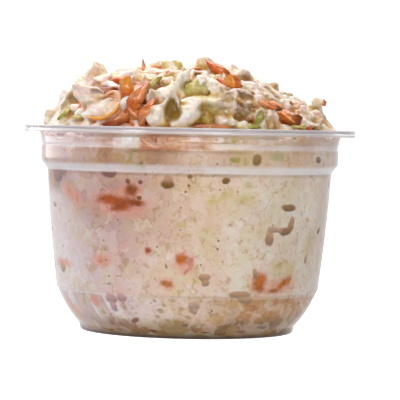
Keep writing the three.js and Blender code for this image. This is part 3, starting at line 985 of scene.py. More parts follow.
def make_slaw():
    """The core: it fills the tub just into the wall, with air pockets, and carries the heap."""
    side_heights = np.linspace(HEEL_HEIGHT, SIDE_TOP, SIDE_RINGS)
    side = list(zip(contact_radius(side_heights), side_heights))
    top = [(r, SIDE_TOP) for r in np.linspace(side[-1][0], 0, TOP_RINGS)[1:]]
    floor = [(r, RECESS_HEIGHT + CONTACT_INSET) for r in (0, FOOT_RADIUS / 2 - 0.8, FOOT_RADIUS - 1.0)]
    slaw = spun("packed_slaw", floor + side + top, SLAW_TURNS)
    points = points_of(slaw)
    radius = np.hypot(points[:, 0], points[:, 1])
    angle = np.arctan2(points[:, 1], points[:, 0])
    turn = np.degrees(angle) + 90
    height = points[:, 2].copy()
    is_top = (height > SIDE_TOP - 0.01) & (radius < side[-1][0] - 0.01)
    is_side = (height >= HEEL_HEIGHT - 0.01) & ~is_top

    ring = np.stack([50 * np.cos(angle), 50 * np.sin(angle), np.zeros(len(angle))], 1)
    ragged = 0.9 * ripple(ring, 4.5, 13) + 0.45 * ripple(ring, 1.7, 14)
    level = np.minimum(contact_height(angle) + ragged, RAGGED_LIMIT)
    height = np.where(is_side, height + smooth(50, 66, height) * (level - SIDE_TOP), height)
    rng = random.Random(SPOTS_SEED)
    pockets, rises, pocket_shades = spot_field(turn, height, radius, POCKETS + scattered_spots(
        rng, 44, (0.8, 4.5), 62, 0.4, ("olive", "tan", "fawn", "sand")))
    carrots, _, carrot_shades = spot_field(turn, height, radius, CARROT_SPOTS + scattered_spots(
        rng, 24, (2.0, 9.0), 66, 0.18, ("rust", "orange", "amber", "peach")))
    greens = spot_field(turn, height, radius, GREEN_SPOTS + scattered_spots(
        rng, 30, (3.0, 12.0), 60, 0.35, ("tan",)))[0]
    blushes = spot_field(turn, height, radius, BLUSH_SPOTS)[0]

    pocket = np.where(is_side, (1 - smooth(0.85, 1.1, pockets)) * smooth(4, 7, height), 0)
    warped = np.stack([points[:, 0], points[:, 1], height], 1)
    reach = contact_radius(height) - pocket * (POCKET_DEPTH + 0.03 * ripple(warped, 2.2, 7))
    reach = np.where(is_side, reach, radius)
    inward = np.minimum(radius / HEAP_RADIUS, 1)
    top_height = heap_top(points[:, 0], points[:, 1]) - 3 * (1 - inward ** 8)
    points[:, 0], points[:, 1] = reach * np.cos(angle), reach * np.sin(angle)
    points[:, 2] = np.where(is_top, top_height, height)
    set_points(slaw, points)
    paint(slaw, "pocket", np.where(is_side, pockets, 2))
    paint(slaw, "pocket_tint", pocket_shading(pocket_shades, pockets, rises))
    paint(slaw, "carrot_tint", carrot_shades)
    paint(slaw, "shine", ring_shine(points))
    paint(slaw, "shown", strokes_shown(points))
    paint(slaw, "blush", np.where(is_side, np.minimum(blushes, 0.75 * carrots), 2))
    paint(slaw, "carrot", np.where(is_side, carrots, 2))
    tint = behind_neck(slaw_tint(points, greens), points)
    paint(slaw, "tint", leaf_strokes(tint, points[:, 2], greens))
    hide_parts("coleslaw")
    return finished(slaw, slaw_material())


def template(kind):
    """The points and faces of one blank that many pieces are shaped from."""
    deselect()
    if kind == "petal":
        bpy.ops.mesh.primitive_uv_sphere_add(segments=28, ring_count=12, radius=1)
    elif kind == "drop":
        bpy.ops.mesh.primitive_ico_sphere_add(subdivisions=2, radius=1)
    else:
        bpy.ops.mesh.primitive_circle_add(vertices=8, radius=1, location=(0, 0, -0.5), fill_type="TRIFAN")
        bpy.ops.object.transform_apply(location=True)
        edit_points()
        for _ in range(SHRED_STEPS):
            bpy.ops.mesh.extrude_region_move(TRANSFORM_OT_translate={"value": (0, 0, 1 / SHRED_STEPS)})
        bpy.ops.mesh.select_all(action="SELECT")
        bpy.ops.mesh.normals_make_consistent(inside=False)
        leave_edit()
    return taken_blank()


PETAL, PETAL_FACES = template("petal")
SHRED, SHRED_FACES = template("shred")
DROP, DROP_FACES = template("drop")


def bent(points, along, over, angle, length):
    """Points bent to an arc that turns by angle over the given length."""
    if abs(angle) < 1e-3:
        return points
    radius = length / angle
    turned = points[:, along] / radius
    arm = radius - points[:, over]
    result = points.copy()
    result[:, along] = arm * np.sin(turned)
    result[:, over] = radius - arm * np.cos(turned)
    return result


def petal(rng, length, width, thick, cup, point=0.0):
    """A torn bit of leaf, rounded by its dressing, cupped both ways and ruffled at its edge."""
    angle = np.arctan2(PETAL[:, 1], PETAL[:, 0])
    reach = np.hypot(PETAL[:, 0], PETAL[:, 1]) ** 0.8
    cuts, start, total = rng.randint(4, 6), rng.uniform(0, TURN), 0
    for i in range(cuts):
        side = start + TURN * i / cuts + rng.uniform(-0.4, 0.4)
        total = total + (np.clip(np.cos(angle - side), 0, None) / rng.uniform(0.74, 1.0)) ** 9
    outline = np.minimum(total ** (-1 / 9), 1.3)
    outline = outline * (
        1 + 0.07 * np.sin(5 * angle + rng.uniform(0, TURN)) + 0.04 * np.sin(8 * angle + start))
    x = outline * reach * np.cos(angle) * length / 2
    y = outline * reach * np.sin(angle) * width / 2
    y *= 1 - point * smooth(-0.2, 1.0, 2 * x / length)
    bulk = 1 + 0.3 * np.sin(2.2 * x / length + rng.uniform(0, TURN))
    z = thick / 2 * np.sign(PETAL[:, 2]) * np.abs(PETAL[:, 2]) ** 0.8 * bulk
    size = math.sqrt(length * width)
    ruffle = np.sin(rng.choice((2, 3)) * angle + rng.uniform(0, TURN)) * reach ** 2
    ruffle += 0.4 * np.sin(5 * angle + rng.uniform(0, TURN)) * reach ** 3
    crease = PETAL_CREASE * np.abs(y * math.cos(start) - x * math.sin(start))
    points = np.stack([x, y, z + PETAL_RUFFLE * size * ruffle + crease * np.sign(cup)], 1)
    points = bent(points, 0, 2, cup * rng.uniform(0.5, 1.0), length)
    points = bent(points, 1, 2, cup, width)
    points += 0.1 * thick * ripple(points + rng.uniform(0, 50), 1.3, 3)[:, None] * PETAL
    return points, reach


def shred(rng, length, width, thick, arch, curl):
    """A strip with blunt ends, bent over and sideways and twisted."""
    t = SHRED[:, 2]
    taper = np.clip(1 - np.abs(2 * t) ** 7, 0.2, 1) ** 0.5
    uneven = 1 + 0.16 * np.sin(9 * t + rng.uniform(0, TURN))
    across = np.sign(SHRED[:, 0]) * np.abs(SHRED[:, 0]) ** 0.7 * width / 2 * taper * uneven
    over = np.sign(SHRED[:, 1]) * np.abs(SHRED[:, 1]) ** 0.7 * thick / 2 * taper * uneven
    roll = SHRED_TWIST * t
    points = np.stack([
        t * length,
        across * np.cos(roll) - over * np.sin(roll),
        across * np.sin(roll) + over * np.cos(roll)], 1)
    points = bent(points, 0, 2, -arch, length)
    points = bent(points, 0, 1, curl, length)
    return points, np.abs(SHRED[:, 0])


def along_path(path, width):
    """The strip's blank drawn along a smooth line through the path's points."""
    path = np.array(path)
    knots = np.linspace(-0.5, 0.5, len(path))
    level = np.linspace(-0.5, 0.5, 60)
    line = np.stack([np.interp(level, knots, path[:, axis]) for axis in range(3)], 1)
    for _ in range(40):
        line[1:-1] = (line[:-2] + 2 * line[1:-1] + line[2:]) / 4
    t = SHRED[:, 2]
    centre = np.stack([np.interp(t, level, line[:, axis]) for axis in range(3)], 1)
    way = np.gradient(line, axis=0)
    way = np.stack([np.interp(t, level, way[:, axis]) for axis in range(3)], 1)
    way /= np.linalg.norm(way, axis=1)[:, None]
    side = np.cross(way, np.array([0, -1.0, 0.3]))
    side /= np.linalg.norm(side, axis=1)[:, None]
    front = np.cross(side, way)
    taper = (np.clip(1 - np.abs(2 * t) ** 6, 0.15, 1) ** 0.5 * width / 2)[:, None]
    return centre + (SHRED[:, :1] * side + SHRED[:, 1:2] * front) * taper


def placed(points, centre, normal, along):
    """Points set at a centre, with their own Z along the normal and X along the given way."""
    z = normal / np.linalg.norm(normal)
    x = along - z * (along @ z)
    x /= np.linalg.norm(x)
    return centre + points @ np.array([x, np.cross(z, x), z])


def keep_in(points):
    """Presses points in from the tub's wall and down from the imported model's top."""
    radius = np.hypot(points[:, 0], points[:, 1])
    in_tub = contact_radius(points[:, 2]) - WALL_CLEARANCE
    over_rim = HEAP_RADIUS + RIM_OVERHANG
    limit = np.where(points[:, 2] < TUB_HEIGHT - 0.6, np.minimum(in_tub, over_rim), over_rim)
    shrink = np.where(radius > limit, limit / np.maximum(radius, 1e-6), 1)
    points = points.copy()
    points[:, :2] *= shrink[:, None]
    points[:, 2] = np.minimum(points[:, 2], TOP_LIMIT)
    return points


class Batch:
    """Pieces of one kind that are joined into one mesh."""

    def __init__(self, name):
        self.name, self.points, self.faces, self.tints, self.count = name, [], [], [], 0

    def add(self, points, faces, tints):
        self.points.append(points)
        self.faces += [tuple(i + self.count for i in face) for face in faces]
        self.count += len(points)
        self.tints.append(tints)

    def make(self):
        mesh = bpy.data.meshes.new(self.name)
        mesh.from_pydata((keep_in(np.concatenate(self.points)) * MM).tolist(), [], self.faces)
        piece = in_scene(self.name, mesh)
        paint(piece, "tint", np.concatenate(self.tints))
        pick(piece)
        bpy.ops.object.shade_smooth()
        return piece


TINTS = {
    "white": (0.90, 0.81, 0.68),
    "cream": (0.82, 0.67, 0.42),
    "pink": (0.82, 0.61, 0.49),
    "lilac": (0.79, 0.66, 0.59),
    "tan": (0.66, 0.44, 0.20),
    "olive": (0.42, 0.31, 0.05),
    "lime": (0.64, 0.54, 0.15),
    "amber": (0.50, 0.27, 0.03),
    "brown": (0.40, 0.19, 0.06),
    "peach": (0.84, 0.48, 0.28),
    "salmon": (0.80, 0.32, 0.14),
    "gold": (0.85, 0.36, 0.03),
    "orange": (0.74, 0.17, 0.012),
    "red": (0.62, 0.095, 0.012),
    "rust": (0.28, 0.045, 0.004),
    "leaf": (0.36, 0.40, 0.05),
}
# Painted light and shade on the heap: PALE is the dressing's own pale colour and also the painted highlight
# on middles and ridges, DEEPENED painted shade at the pieces' rims, the two oranges painted highlights on the
# carrots, the three crevice colours painted shade partly of juice, and the lilac one painted light on the
# heap's left.
PALE = np.array((0.98, 0.89, 0.84))
BRIGHT_ORANGE = np.array((0.92, 0.40, 0.10))
ORANGE_HIGHLIGHT = np.array((0.95, 0.42, 0.10))
DEEPENED = np.array((0.80, 0.60, 0.34))
JUICE_AND_SHADE_LEFT = np.array((0.82, 0.48, 0.24))
JUICE_AND_SHADE_MIDDLE = np.array((0.74, 0.55, 0.15))
JUICE_AND_SHADE_RIGHT = np.array((0.76, 0.50, 0.26))
LILAC_PAINTED_LIGHT = np.array((1.0, 0.99, 1.06))

# Pieces on the heap's front: across, up from the rim, long, wide, roll, yaw, pitch, cup,
# out from the core, colour at the start, colour at the end, how pointed it is.
LEAVES = [
    (-35.2, 18.8, 5, 3.6, 62, -15, 15, 0.7, 1, "tan", "tan", 0.8),
    (-31.7, 16.3, 7.7, 6.3, -50, 10, 10, -1.1, 1, "lilac", "tan", 0),
    (-37, 13.5, 10.7, 4.5, 38, -10, 20, 0.9, 0.8, "tan", "pink", 0),
    (-40.4, 8.8, 12, 6.7, 58, -25, 0, 1.1, 0.6, "olive", "tan", 0.2),
    (-33.6, 9.3, 12.7, 7.9, -22, -5, 15, 1, 1.4, "pink", "tan", 0.2),
    (-29.3, 5.5, 13.9, 6.5, 14, 5, 10, 0.7, 1.2, "pink", "tan", 0),
    (-27.7, 13.9, 8.8, 4.4, 5, 0, 35, -0.8, 0.6, "pink", "pink", 0),
    (-45.5, 8.2, 4.1, 3.6, 70, -20, 10, 0.8, 0.6, "lilac", "cream", 0),
    (-47.7, 4.7, 8.6, 4.1, 42, -20, 10, 0.8, 0.5, "lilac", "cream", 0),
    (-50.6, 1.8, 5.4, 3.6, 35, -20, 10, 0.8, 0.4, "pink", "cream", 0),
    (-38.1, 5.5, 4.8, 4, 20, 0, 10, -1.2, 1.6, "pink", "tan", 0),
    (-36.7, 3.4, 5.7, 3.9, 10, 0, 10, -1.2, 1.8, "pink", "pink", 0),
    (-21.5, 6.5, 7.3, 3.9, 60, 0, 0, 0.8, 2.2, "pink", "white", 0),
    (-39.2, 1.1, 6.1, 3.1, 5, 0, 20, 0.8, 0.8, "cream", "cream", 0),
    (-34.2, 0.9, 5.2, 3, -5, 0, 20, 0.8, 0.8, "pink", "pink", 0),
    (-30.7, 0.3, 6.1, 2.2, 0, 0, 20, 0.8, 0.8, "pink", "pink", 0),
    (-21.9, 17.2, 6.2, 4.4, 20, 0, 15, -1, 0.6, "pink", "lilac", 0),
    (-19.3, 18.5, 5.4, 4, 30, 0, 15, -1, 0.6, "lilac", "lilac", 0),
    (-13.4, 20, 6.8, 4.5, 10, 0, 15, 1, 0.8, "cream", "cream", 0),
    (-9.1, 20.5, 6.8, 5, -10, 0, 15, 1, 0.8, "cream", "white", 0),
    (-13.7, 8.9, 9.5, 2.8, 68, 0, 0, 0.6, 1.8, "pink", "pink", 0.3),
    (-8.2, 9.1, 10.8, 8.2, 48, -10, 5, 0.6, 2, "cream", "white", 0.2),
    (-2.9, 12.3, 12.5, 6.9, 68, -10, 5, 0.5, 2.2, "cream", "white", 0.3),
    (-1, 15.3, 2.6, 2.2, 50, 0, 5, 0.5, 2.6, "tan", "tan", 0.3),
    (-6, 5.2, 12.9, 8.2, -88, 0, -5, 1, 0.6, "olive", "amber", 0.5),
    (-10.5, 2.2, 11.6, 7.7, -38, 0, 0, 0.5, 2.6, "cream", "white", 0.2),
    (-0.9, 2.7, 12.8, 7.7, 35, 5, 5, 0.5, 2.8, "cream", "white", 0.2),
    (-1.2, 8, 4.3, 3, 30, 0, 10, 0.8, 2.2, "white", "white", 0),
    (2.5, 12.7, 8.6, 6.9, 60, 0, 10, 0.6, 1, "lime", "olive", 0),
    (4, 15.8, 7.8, 4.8, -10, 0, 15, -1.2, 1.6, "white", "white", 0),
    (2.5, 20.5, 8.1, 5.9, 35, -10, 15, -1.1, 1, "cream", "cream", 0),
    (7.5, 12.5, 6, 5.2, 0, 0, 15, -1.3, 2.2, "white", "cream", 0),
    (7.6, 7.3, 15.4, 10.3, 0, 0, 20, -1.2, 1.6, "lime", "tan", 0),
    (5.5, 2.7, 6.8, 5.1, 0, 0, 0, 0.8, 1.6, "amber", "amber", 0),
    (12.1, 8.9, 7.7, 6, 20, 0, 10, 1, 1.8, "tan", "tan", 0),
    (10, 2.2, 4.7, 3, 0, 0, 15, 0.9, 1.6, "pink", "pink", 0),
    (13.3, 1.9, 4.3, 3, 10, 0, 15, 0.9, 1.6, "lime", "cream", 0),
    (16.6, 0.9, 5.6, 2.6, 0, 0, 15, 0.9, 1.6, "lime", "cream", 0),
    (-12.8, 13.4, 7, 4.3, 50, 0, 10, 0.7, 0.6, "tan", "lime", 0),
    (-8.4, 15.2, 6.5, 3.5, 20, 0, 10, 0.7, 0.6, "tan", "tan", 0),
    (15.4, 17.6, 9.8, 7.1, 15, 0, 15, -1.3, 1.6, "cream", "lilac", 0),
    (18.4, 17.2, 7.2, 3.6, -75, 15, 5, 0.9, 1.8, "lilac", "tan", 0.3),
    (19, 13.5, 9.6, 4.8, -25, 0, 15, 0.8, 1, "tan", "tan", 0),
    (24, 13.5, 11.5, 6.2, -20, 10, 15, -1.3, 1.6, "lilac", "tan", 0),
    (29.5, 12.7, 2.3, 1.6, -45, 0, 5, 0.5, 1, "brown", "brown", 0),
    (17.7, 10.5, 6.9, 5.6, -40, 0, 10, 0.8, 0.8, "brown", "brown", 0),
    (21.6, 10.6, 5.2, 1.5, -15, 0, 5, 0.6, 2.6, "pink", "pink", 0),
    (21.9, 8.3, 5.2, 3.9, 75, 0, 0, 0.5, 2.4, "white", "white", 0.6),
    (26.8, 9.7, 8.3, 4, -28, 0, 10, 0.8, 1.4, "olive", "tan", 0),
    (22.7, 2.8, 7.3, 4.7, 85, 0, 0, 1, 1.8, "lime", "olive", 0),
    (18.4, 5.3, 8.6, 6, 60, 0, 5, 0.8, 0.8, "brown", "brown", 0),
    (30.8, 10.5, 5.3, 3.6, -20, 10, 15, 0.9, 1, "lilac", "lilac", 0),
    (32.3, 7.9, 5.3, 4, 60, 10, 10, 0.9, 1.2, "lilac", "white", 0),
    (34.7, 9.1, 4.4, 3.6, 20, 10, 10, 0.9, 1, "cream", "white", 0),
    (37.6, 7, 6.2, 4.4, 40, 10, 10, 1, 1.2, "pink", "pink", 0),
    (39, 4.6, 7.1, 4.9, -50, 10, 10, 1, 1.4, "pink", "lilac", 0),
    (36.5, 2.6, 6.1, 3.9, 0, 10, 10, 1, 1.2, "lilac", "pink", 0),
    (41.3, 4.1, 6.2, 4.4, 50, 20, 10, 1, 1.2, "cream", "pink", 0),
    (43.5, 8.8, 5.4, 3.6, 15, 15, 10, 1, 1, "lime", "cream", 0),
    (46.4, 3.9, 4.1, 2.5, 10, 20, 10, 0.5, 1, "tan", "tan", 0),
    (48.6, 1.6, 4.1, 2.7, -45, 20, 10, 0.8, 0.6, "lime", "lime", 0),
    (37.6, 0.7, 5.2, 2.2, 0, 0, 10, 0.8, 1, "lime", "lime", 0),
    (-30.5, -2.9, 9.5, 3.9, -3, 0, 0, 0.6, 1, "pink", "peach", 0),
    (-23.7, -4, 8.6, 3.9, -12, 0, 0, 0.6, 1, "white", "pink", 0),
    (-18.9, -4.5, 6.9, 3.4, 20, 0, 0, 0.6, 1, "peach", "pink", 0),
    (-5.8, -4.1, 7.7, 3, 0, 0, 0, 0.6, 0.6, "brown", "tan", 0),
    (1.8, -4.5, 10.2, 3, 4, 0, 0, 0.5, 1, "pink", "pink", 0),
    (9.9, -4, 10.2, 3, 8, 0, 0, 0.5, 1, "white", "pink", 0),
    (17.5, -3.1, 7.7, 3.4, 15, 0, 0, 0.5, 1, "cream", "lime", 0),
    (-9.8, -2.5, 8.5, 3.4, -20, 0, 0, 0.6, 0.6, "brown", "peach", 0),
    (6, -1.8, 10.2, 3.4, 5, 0, 0, 0.6, 0.6, "tan", "brown", 0),
    (-44.3, -0, 7.1, 3.5, 10, -20, 10, 0.8, 0.8, "pink", "white", 0),
    (-17.4, 0.5, 7.7, 3.4, -10, 0, 5, 0.8, 1, "peach", "pink", 0),
    (23.2, 0, 8.6, 3, 0, 0, 5, 0.8, 0.8, "lime", "olive", 0),
    (31.1, 0.1, 7.8, 3, 10, 0, 5, 0.8, 0.8, "tan", "cream", 0),
]
STRIPS = [
    (-42, 3.1, 7.5, 1.3, 50, 0, 0, 0.2, 1.8, "lime", "lime", 0),
    (42.8, 1.8, 5.3, 1.5, 30, 0, 0, 0.3, 1.8, "tan", "cream", 0),
    (41.3, 1, 5.3, 1.3, -10, 0, 0, 0.3, 1.8, "cream", "cream", 0),
    (25.4, 2.8, 6.5, 1.3, 80, 0, 0, 0.3, 1.8, "tan", "pink", 0),
    (26.7, 2.5, 6.5, 1.3, 92, 0, 0, 0.3, 1.8, "tan", "tan", 0),
    (28.4, 2.2, 6.1, 1.3, 104, 0, 0, 0.3, 1.6, "tan", "salmon", 0),
]
CARROTS = [
    (-28.4, 12.1, 9.6, 3.5, -5, 0, 20, 0.4, -0.2, "rust", "rust", 0),
    (-20.6, 10.9, 7.8, 6.4, 85, 0, 0, -0.7, 3.4, "orange", "gold", 0),
    (-21.8, 1.8, 14.5, 5.6, 22, 0, 5, -0.8, 2.8, "rust", "orange", 0),
    (-17.4, 7.6, 16.8, 5.4, 60, 0, 0, -0.7, 2.6, "orange", "salmon", 0),
    (-18.3, 3.2, 10.3, 6.4, 70, 0, 0, -0.5, 1.6, "rust", "orange", 0),
    (-11.7, 11.7, 6.1, 3, 65, 0, 0, -0.5, 0.2, "brown", "rust", 0),
    (-13.9, 3, 14.0, 3.8, 62, 0, 0, -0.5, 3.2, "salmon", "orange", 0),
    (-16.9, 20.3, 5.9, 1.8, 98, 0, 0, -0.4, 0.8, "orange", "brown", 0.6),
    (9.2, 18.2, 15.1, 5.8, -42, 0, 15, -1.1, 2.4, "red", "orange", 0.1),
    (12.9, 12.8, 8.2, 4.4, -5, 0, 10, -0.8, 4.2, "gold", "orange", 0),
    (6.2, 0.3, 14.5, 2.3, 0, 0, 10, -0.4, 1.2, "rust", "salmon", 0),
    (24.0, 6.2, 7.2, 3.8, -25, 0, 5, -0.9, 3.4, "peach", "orange", 0),
    (32.4, 2.1, 9.6, 5.6, -30, 5, 10, -0.7, 3, "orange", "rust", 0),
    (45.9, 9, 3.2, 2.3, -20, 10, 5, -0.6, 1.2, "salmon", "red", 0),
    (37.4, 8, 3.6, 2.2, 0, 10, 10, -0.8, 1.2, "salmon", "salmon", 0),
    (-32.6, -5.2, 9.5, 2.2, -6, 0, 0, 0.4, 1.4, "peach", "salmon", 0),
    (-26.4, -2.1, 10.3, 2.6, -4, 0, 0, 0.4, 1, "salmon", "peach", 0),
]
GREENS = [
    (-41.5, 3.3, 6.6, 2, 45, -10, 0, 0.4, 2.2, "leaf", "lime", 0),
    (-36.3, 2.1, 6.1, 1.7, -6, 0, 10, 0.4, 1.8, "lime", "olive", 0),
    (-5.2, 20, 7.7, 4.1, -36, 0, 15, 0.6, 1.6, "olive", "lime", 0.3),
    (2.5, 12.3, 10.4, 7.3, 20, 0, 10, 0.7, 1, "lime", "olive", 0),
    (22.2, 2.5, 6.5, 3.9, 80, 0, 0, 0.6, 2.4, "leaf", "olive", 0.2),
    (47.8, 1.6, 5, 2.7, -35, 20, 10, 0.6, 0.8, "lime", "leaf", 0),
    (35.6, 0.4, 7, 2, 4, 0, 10, 0.6, 1.4, "lime", "lime", 0),
    (19.3, 0.4, 8.6, 1.9, 0, 0, 10, 0.6, 1.4, "lime", "leaf", 0),
    (-12.4, 13.8, 5.6, 3, 35, 0, 10, 0.6, 1.4, "lime", "olive", 0),
    (5.8, 2.4, 6, 3.8, 10, 0, 0, 0.6, 1.6, "olive", "amber", 0),
]
THIN_CARROTS = [
    (-14.1, -5.7, 10.2, 1.5, -38, 0, 0, 0, 1.6, "salmon", "peach", 0),
    (-11.6, -6.4, 11.1, 1.3, -30, 0, 0, 0, 1.8, "peach", "salmon", 0),
    (-12.9, -4.1, 8.5, 1.3, -48, 0, 0, 0, 1.2, "salmon", "red", 0),
    (-25.4, 1.3, 8.2, 0.9, 37, 0, 0, 0, 2.2, "gold", "gold", 0),
    (31.2, 2.1, 6.5, 0.6, -35, 0, 0, 0, 3.2, "gold", "gold", 0),
    (32.4, 2.5, 5.7, 0.5, -35, 0, 0, 0, 3.1, "gold", "gold", 0),
]
# Thin curls of carrot: the places that they run through, thickness, out from the core, colour.
CARROT_CURLS = [
    ([(-33.6, 1.8), (-30.2, 1.0), (-27.3, 1.3), (-25.1, 2.9), (-23.4, 4.5), (-22.8, 6.4)], 1.2, 2.8, "gold"),
    ([(-28.6, 8.5), (-26.4, 10.0), (-24.2, 10.3), (-22.9, 8.8), (-23.0, 6.6)], 1.0, 2.4, "peach"),
]


# Leaves that stand up on the skyline: across, depth, height over the rim, long, wide, lean, colours.
CRESTS = [
    (-49.5, -3, 6.6, 8, 6, 40, "lilac", "cream"),
    (-44.5, -4, 14.0, 9, 8, 20, "lilac", "cream"),
    (-39, -6, 18.0, 9, 7, 25, "pink", "cream"),
    (-35, -9, 21.8, 13, 7, 12, "pink", "tan"),
    (-29.2, -9, 19.8, 14, 9, -22, "pink", "tan"),
    (-23, 0, 14.2, 12, 9, 10, "pink", "lilac"),
    (-17, -2, 21.2, 12, 9, 10, "pink", "lilac"),
    (-13, -8, 21.0, 14, 12, 0, "cream", "cream"),
    (-6, -4, 21.2, 14, 10, -15, "lime", "cream"),
    (5.4, -6, 27.0, 16, 8.5, 4, "cream", "white"),
    (11, -4, 22.0, 14, 9, -10, "cream", "tan"),
    (14.8, -9, 22.6, 15, 9, -2, "cream", "lilac"),
    (27.5, -4, 17.4, 13, 10, -10, "lilac", "tan"),
    (36, -8, 11.6, 11, 10, 0, "lilac", "white"),
    (44, -3, 10.2, 10, 9, 10, "cream", "pink"),
]


def facing(roll, yaw, pitch):
    """The way a piece faces and the way its length runs, for one that is seen from the front."""
    roll, yaw, pitch = (math.radians(v) for v in (roll, yaw, pitch))
    normal = np.array([math.sin(yaw) * math.cos(pitch), -math.cos(yaw) * math.cos(pitch), math.sin(pitch)])
    return normal, np.array([math.cos(roll), 0, math.sin(roll)])


def seated(across, up, out):
    """A point that stands off the heap's front by the given distance."""
    seat = front_seat(across, up)
    return seat + heap_normal(seat[0], seat[1]) * out


def shaded(points, length, start, end, reach, pale, amount, fibres=0.0):
    """Colours that run from start to end along the piece, paler on its back as a painted highlight, and
    deeper at its rim as painted shade.
    """
    tints = laid_over(np.array(TINTS[start]), smooth(-0.45, 0.45, points[:, 0] / length), TINTS[end])
    tints = laid_over(tints, amount * smooth(0.7, 0.1, reach), pale)
    # Painted shade at the rim, where the piece sinks among the others.
    rim = smooth(0.62, 1.0, reach)[:, None]
    grain = 1 - fibres * smooth(-0.2, 0.8, ripple(points * np.array((0.2, 1.0, 1.0)), 0.9, 65))[:, None]
    return tints * grain * (1 - rim + DEEPENED * rim)


def set_crests(batch, rng):
    for across, depth, height, length, width, lean, start, end in CRESTS:
        centre = np.array([across, depth, TUB_HEIGHT + height - 0.45 * length])
        points, rim = petal(rng, length, width, 2.8, rng.choice((-0.9, 0.7)), 0.1)
        along = np.array([math.sin(math.radians(lean)), 0, math.cos(math.radians(lean))])
        normal = np.array([0.25 * math.sin(3 * across), -1, 0.2])
        batch.add(placed(points, centre, normal, along), PETAL_FACES,
                  shaded(points, length, start, end, rim, PALE, 0.3))


def set_front_pieces(batch, rows, rng, edge, amount, as_strip=False, fibres=0.0):
    for across, up, length, width, roll, yaw, pitch, cup, out, start, end, point in rows:
        if as_strip:
            points, rim = shred(rng, length, width, 0.8 * width, cup, 0.2)
            faces = SHRED_FACES
        else:
            points, rim = petal(rng, 1.2 * length, 1.15 * width, min(max(0.3 * width, 1.4), 2.6),
                                -1.3 * abs(cup) if cup < 1 else 0.8, point)
            faces = PETAL_FACES
        tints = shaded(points, length, start, end, rim, edge, amount, fibres)
        batch.add(placed(points, seated(across, up, out), *facing(roll, yaw, pitch)), faces, tints)


def set_curls(batch):
    for places, width, out, colour in CARROT_CURLS:
        path = [seated(across, up, out) for across, up in places]
        batch.add(along_path(path, width), SHRED_FACES, np.tile(TINTS[colour], (len(SHRED), 1)))


def even_radii():
    """Radii that split the heap's surface, steep edge included, into equal shares."""
    radius = np.linspace(0, 0.985 * HEAP_RADIUS, 400)
    rise = HEAP_RISE * (1 - (radius / HEAP_RADIUS) ** HEAP_FULLNESS)
    area = np.cumsum(radius * np.hypot(1, np.gradient(rise, radius)))
    return area / area[-1], radius


AREA_SHARE, AREA_RADIUS = even_radii()


def spread_place(rng, i, count, phase, out):
    """The place of piece i of count, spread evenly over the heap, and the heap's normal there."""
    radius = float(np.interp((i + 0.5) / count, AREA_SHARE, AREA_RADIUS))
    angle = i * GOLDEN_ANGLE + phase + rng.uniform(-0.3, 0.3)
    x, y = radius * math.cos(angle), radius * math.sin(angle)
    normal = heap_normal(x, y)
    out = rng.uniform(*out) - FRONT_SINK * in_front(x, y)
    return np.array([x, y, float(heap_top(x, y))]) + normal * out, normal


def in_front(x, y):
    """1 on the heap's front, where the pieces are set one by one, and 0 elsewhere."""
    return float(smooth(8, 20, -y))


def under_skyline(points):
    """Presses scattered points down to the heap's rounded outline, so that none stands up as a spike."""
    top = heap_top(points[:, 0], points[:, 1]) + 1.9 + 0.5 * ripple(points, 6, 61)
    points = points.copy()
    points[:, 2] = np.where(points[:, 2] > top, top + 0.25 * (points[:, 2] - top), points[:, 2])
    return points


def any_way(rng, spread=1):
    return np.array([rng.gauss(0, spread) for _ in range(3)])


def lay_down(rng, batch, points, faces, tints, centre, normal, lean):
    """Adds a piece that lies on the heap, leaning by chance and turned any way."""
    leaning = normal + any_way(rng, lean)
    leaning /= np.linalg.norm(leaning)
    batch.add(under_skyline(placed(points, centre, leaning, any_way(rng))), faces, tints)


def scatter_leaves(rng, batch, count, sizes, out, lean, colours, phase, front_share=1.0):
    for i in range(count):
        centre, normal = spread_place(rng, i, count, phase, out)
        if rng.random() > 1 - (1 - front_share) * in_front(centre[0], centre[1]):
            continue
        length = rng.uniform(*sizes)
        width = length * rng.uniform(0.4, 0.8)
        points, rim = petal(rng, length, width, min(max(0.3 * width, 1.3), 2.4),
                            rng.choice((-1, -1, -1, 0.6)) * rng.uniform(0.8, 1.9), rng.choice((0, 0, 0.5)))
        tints = shaded(points, length, rng.choice(colours), rng.choice(colours), rim, PALE, 0.3)
        lay_down(rng, batch, points, PETAL_FACES, tints, centre, normal, lean)


def scatter_shreds(rng, batch, count, sizes, section, out, colours, edge, phase):
    for i in range(count):
        centre, normal = spread_place(rng, i, count, phase, out)
        length = rng.uniform(*sizes)
        points, rim = shred(rng, length, section[0] * rng.uniform(0.7, 1.3),
                            section[1] * rng.uniform(0.8, 1.2), rng.uniform(0.2, 1.6), rng.uniform(-0.9, 0.9))
        tints = shaded(points, length, rng.choice(colours), rng.choice(colours), rim, edge, 0.2)
        lay_down(rng, batch, points, SHRED_FACES, tints, centre, normal, 0.3)


def add_bed(batch):
    """The dressing's bed under the leaves: a dome that follows the core's top."""
    deselect()
    bpy.ops.mesh.primitive_uv_sphere_add(segments=180, ring_count=120, radius=1)
    blank, faces = taken_blank()
    x, y = (blank[:, i] * (HEAP_RADIUS - 0.8) for i in (0, 1))
    top = heap_top(x, y) - CORE_SINK * (1 - np.hypot(blank[:, 0], blank[:, 1]) ** 12)
    points = np.stack([x, y, np.where(blank[:, 2] > 0, top, np.minimum(top - 1.0, BED_BOTTOM))], 1)
    points[:, 2] += np.where(blank[:, 2] > 0, 0.5 * ripple(points, 2.6, 21), 0)
    # Painted shade: the bed darker and warmer on the front, for the valleys between the leaves.
    front = laid_over(np.array((0.52, 0.17, 0.03)), smooth(-14, 0, x), TINTS["olive"])
    front = laid_over(front, smooth(14, 26, x), TINTS["brown"])
    patches = smooth(-0.6, 0.6, ripple(points, 9, 51))
    elsewhere = laid_over(np.array((0.58, 0.46, 0.16)), patches, TINTS["tan"])
    batch.add(points, faces, laid_over(elsewhere, smooth(10, 24, -y), front))
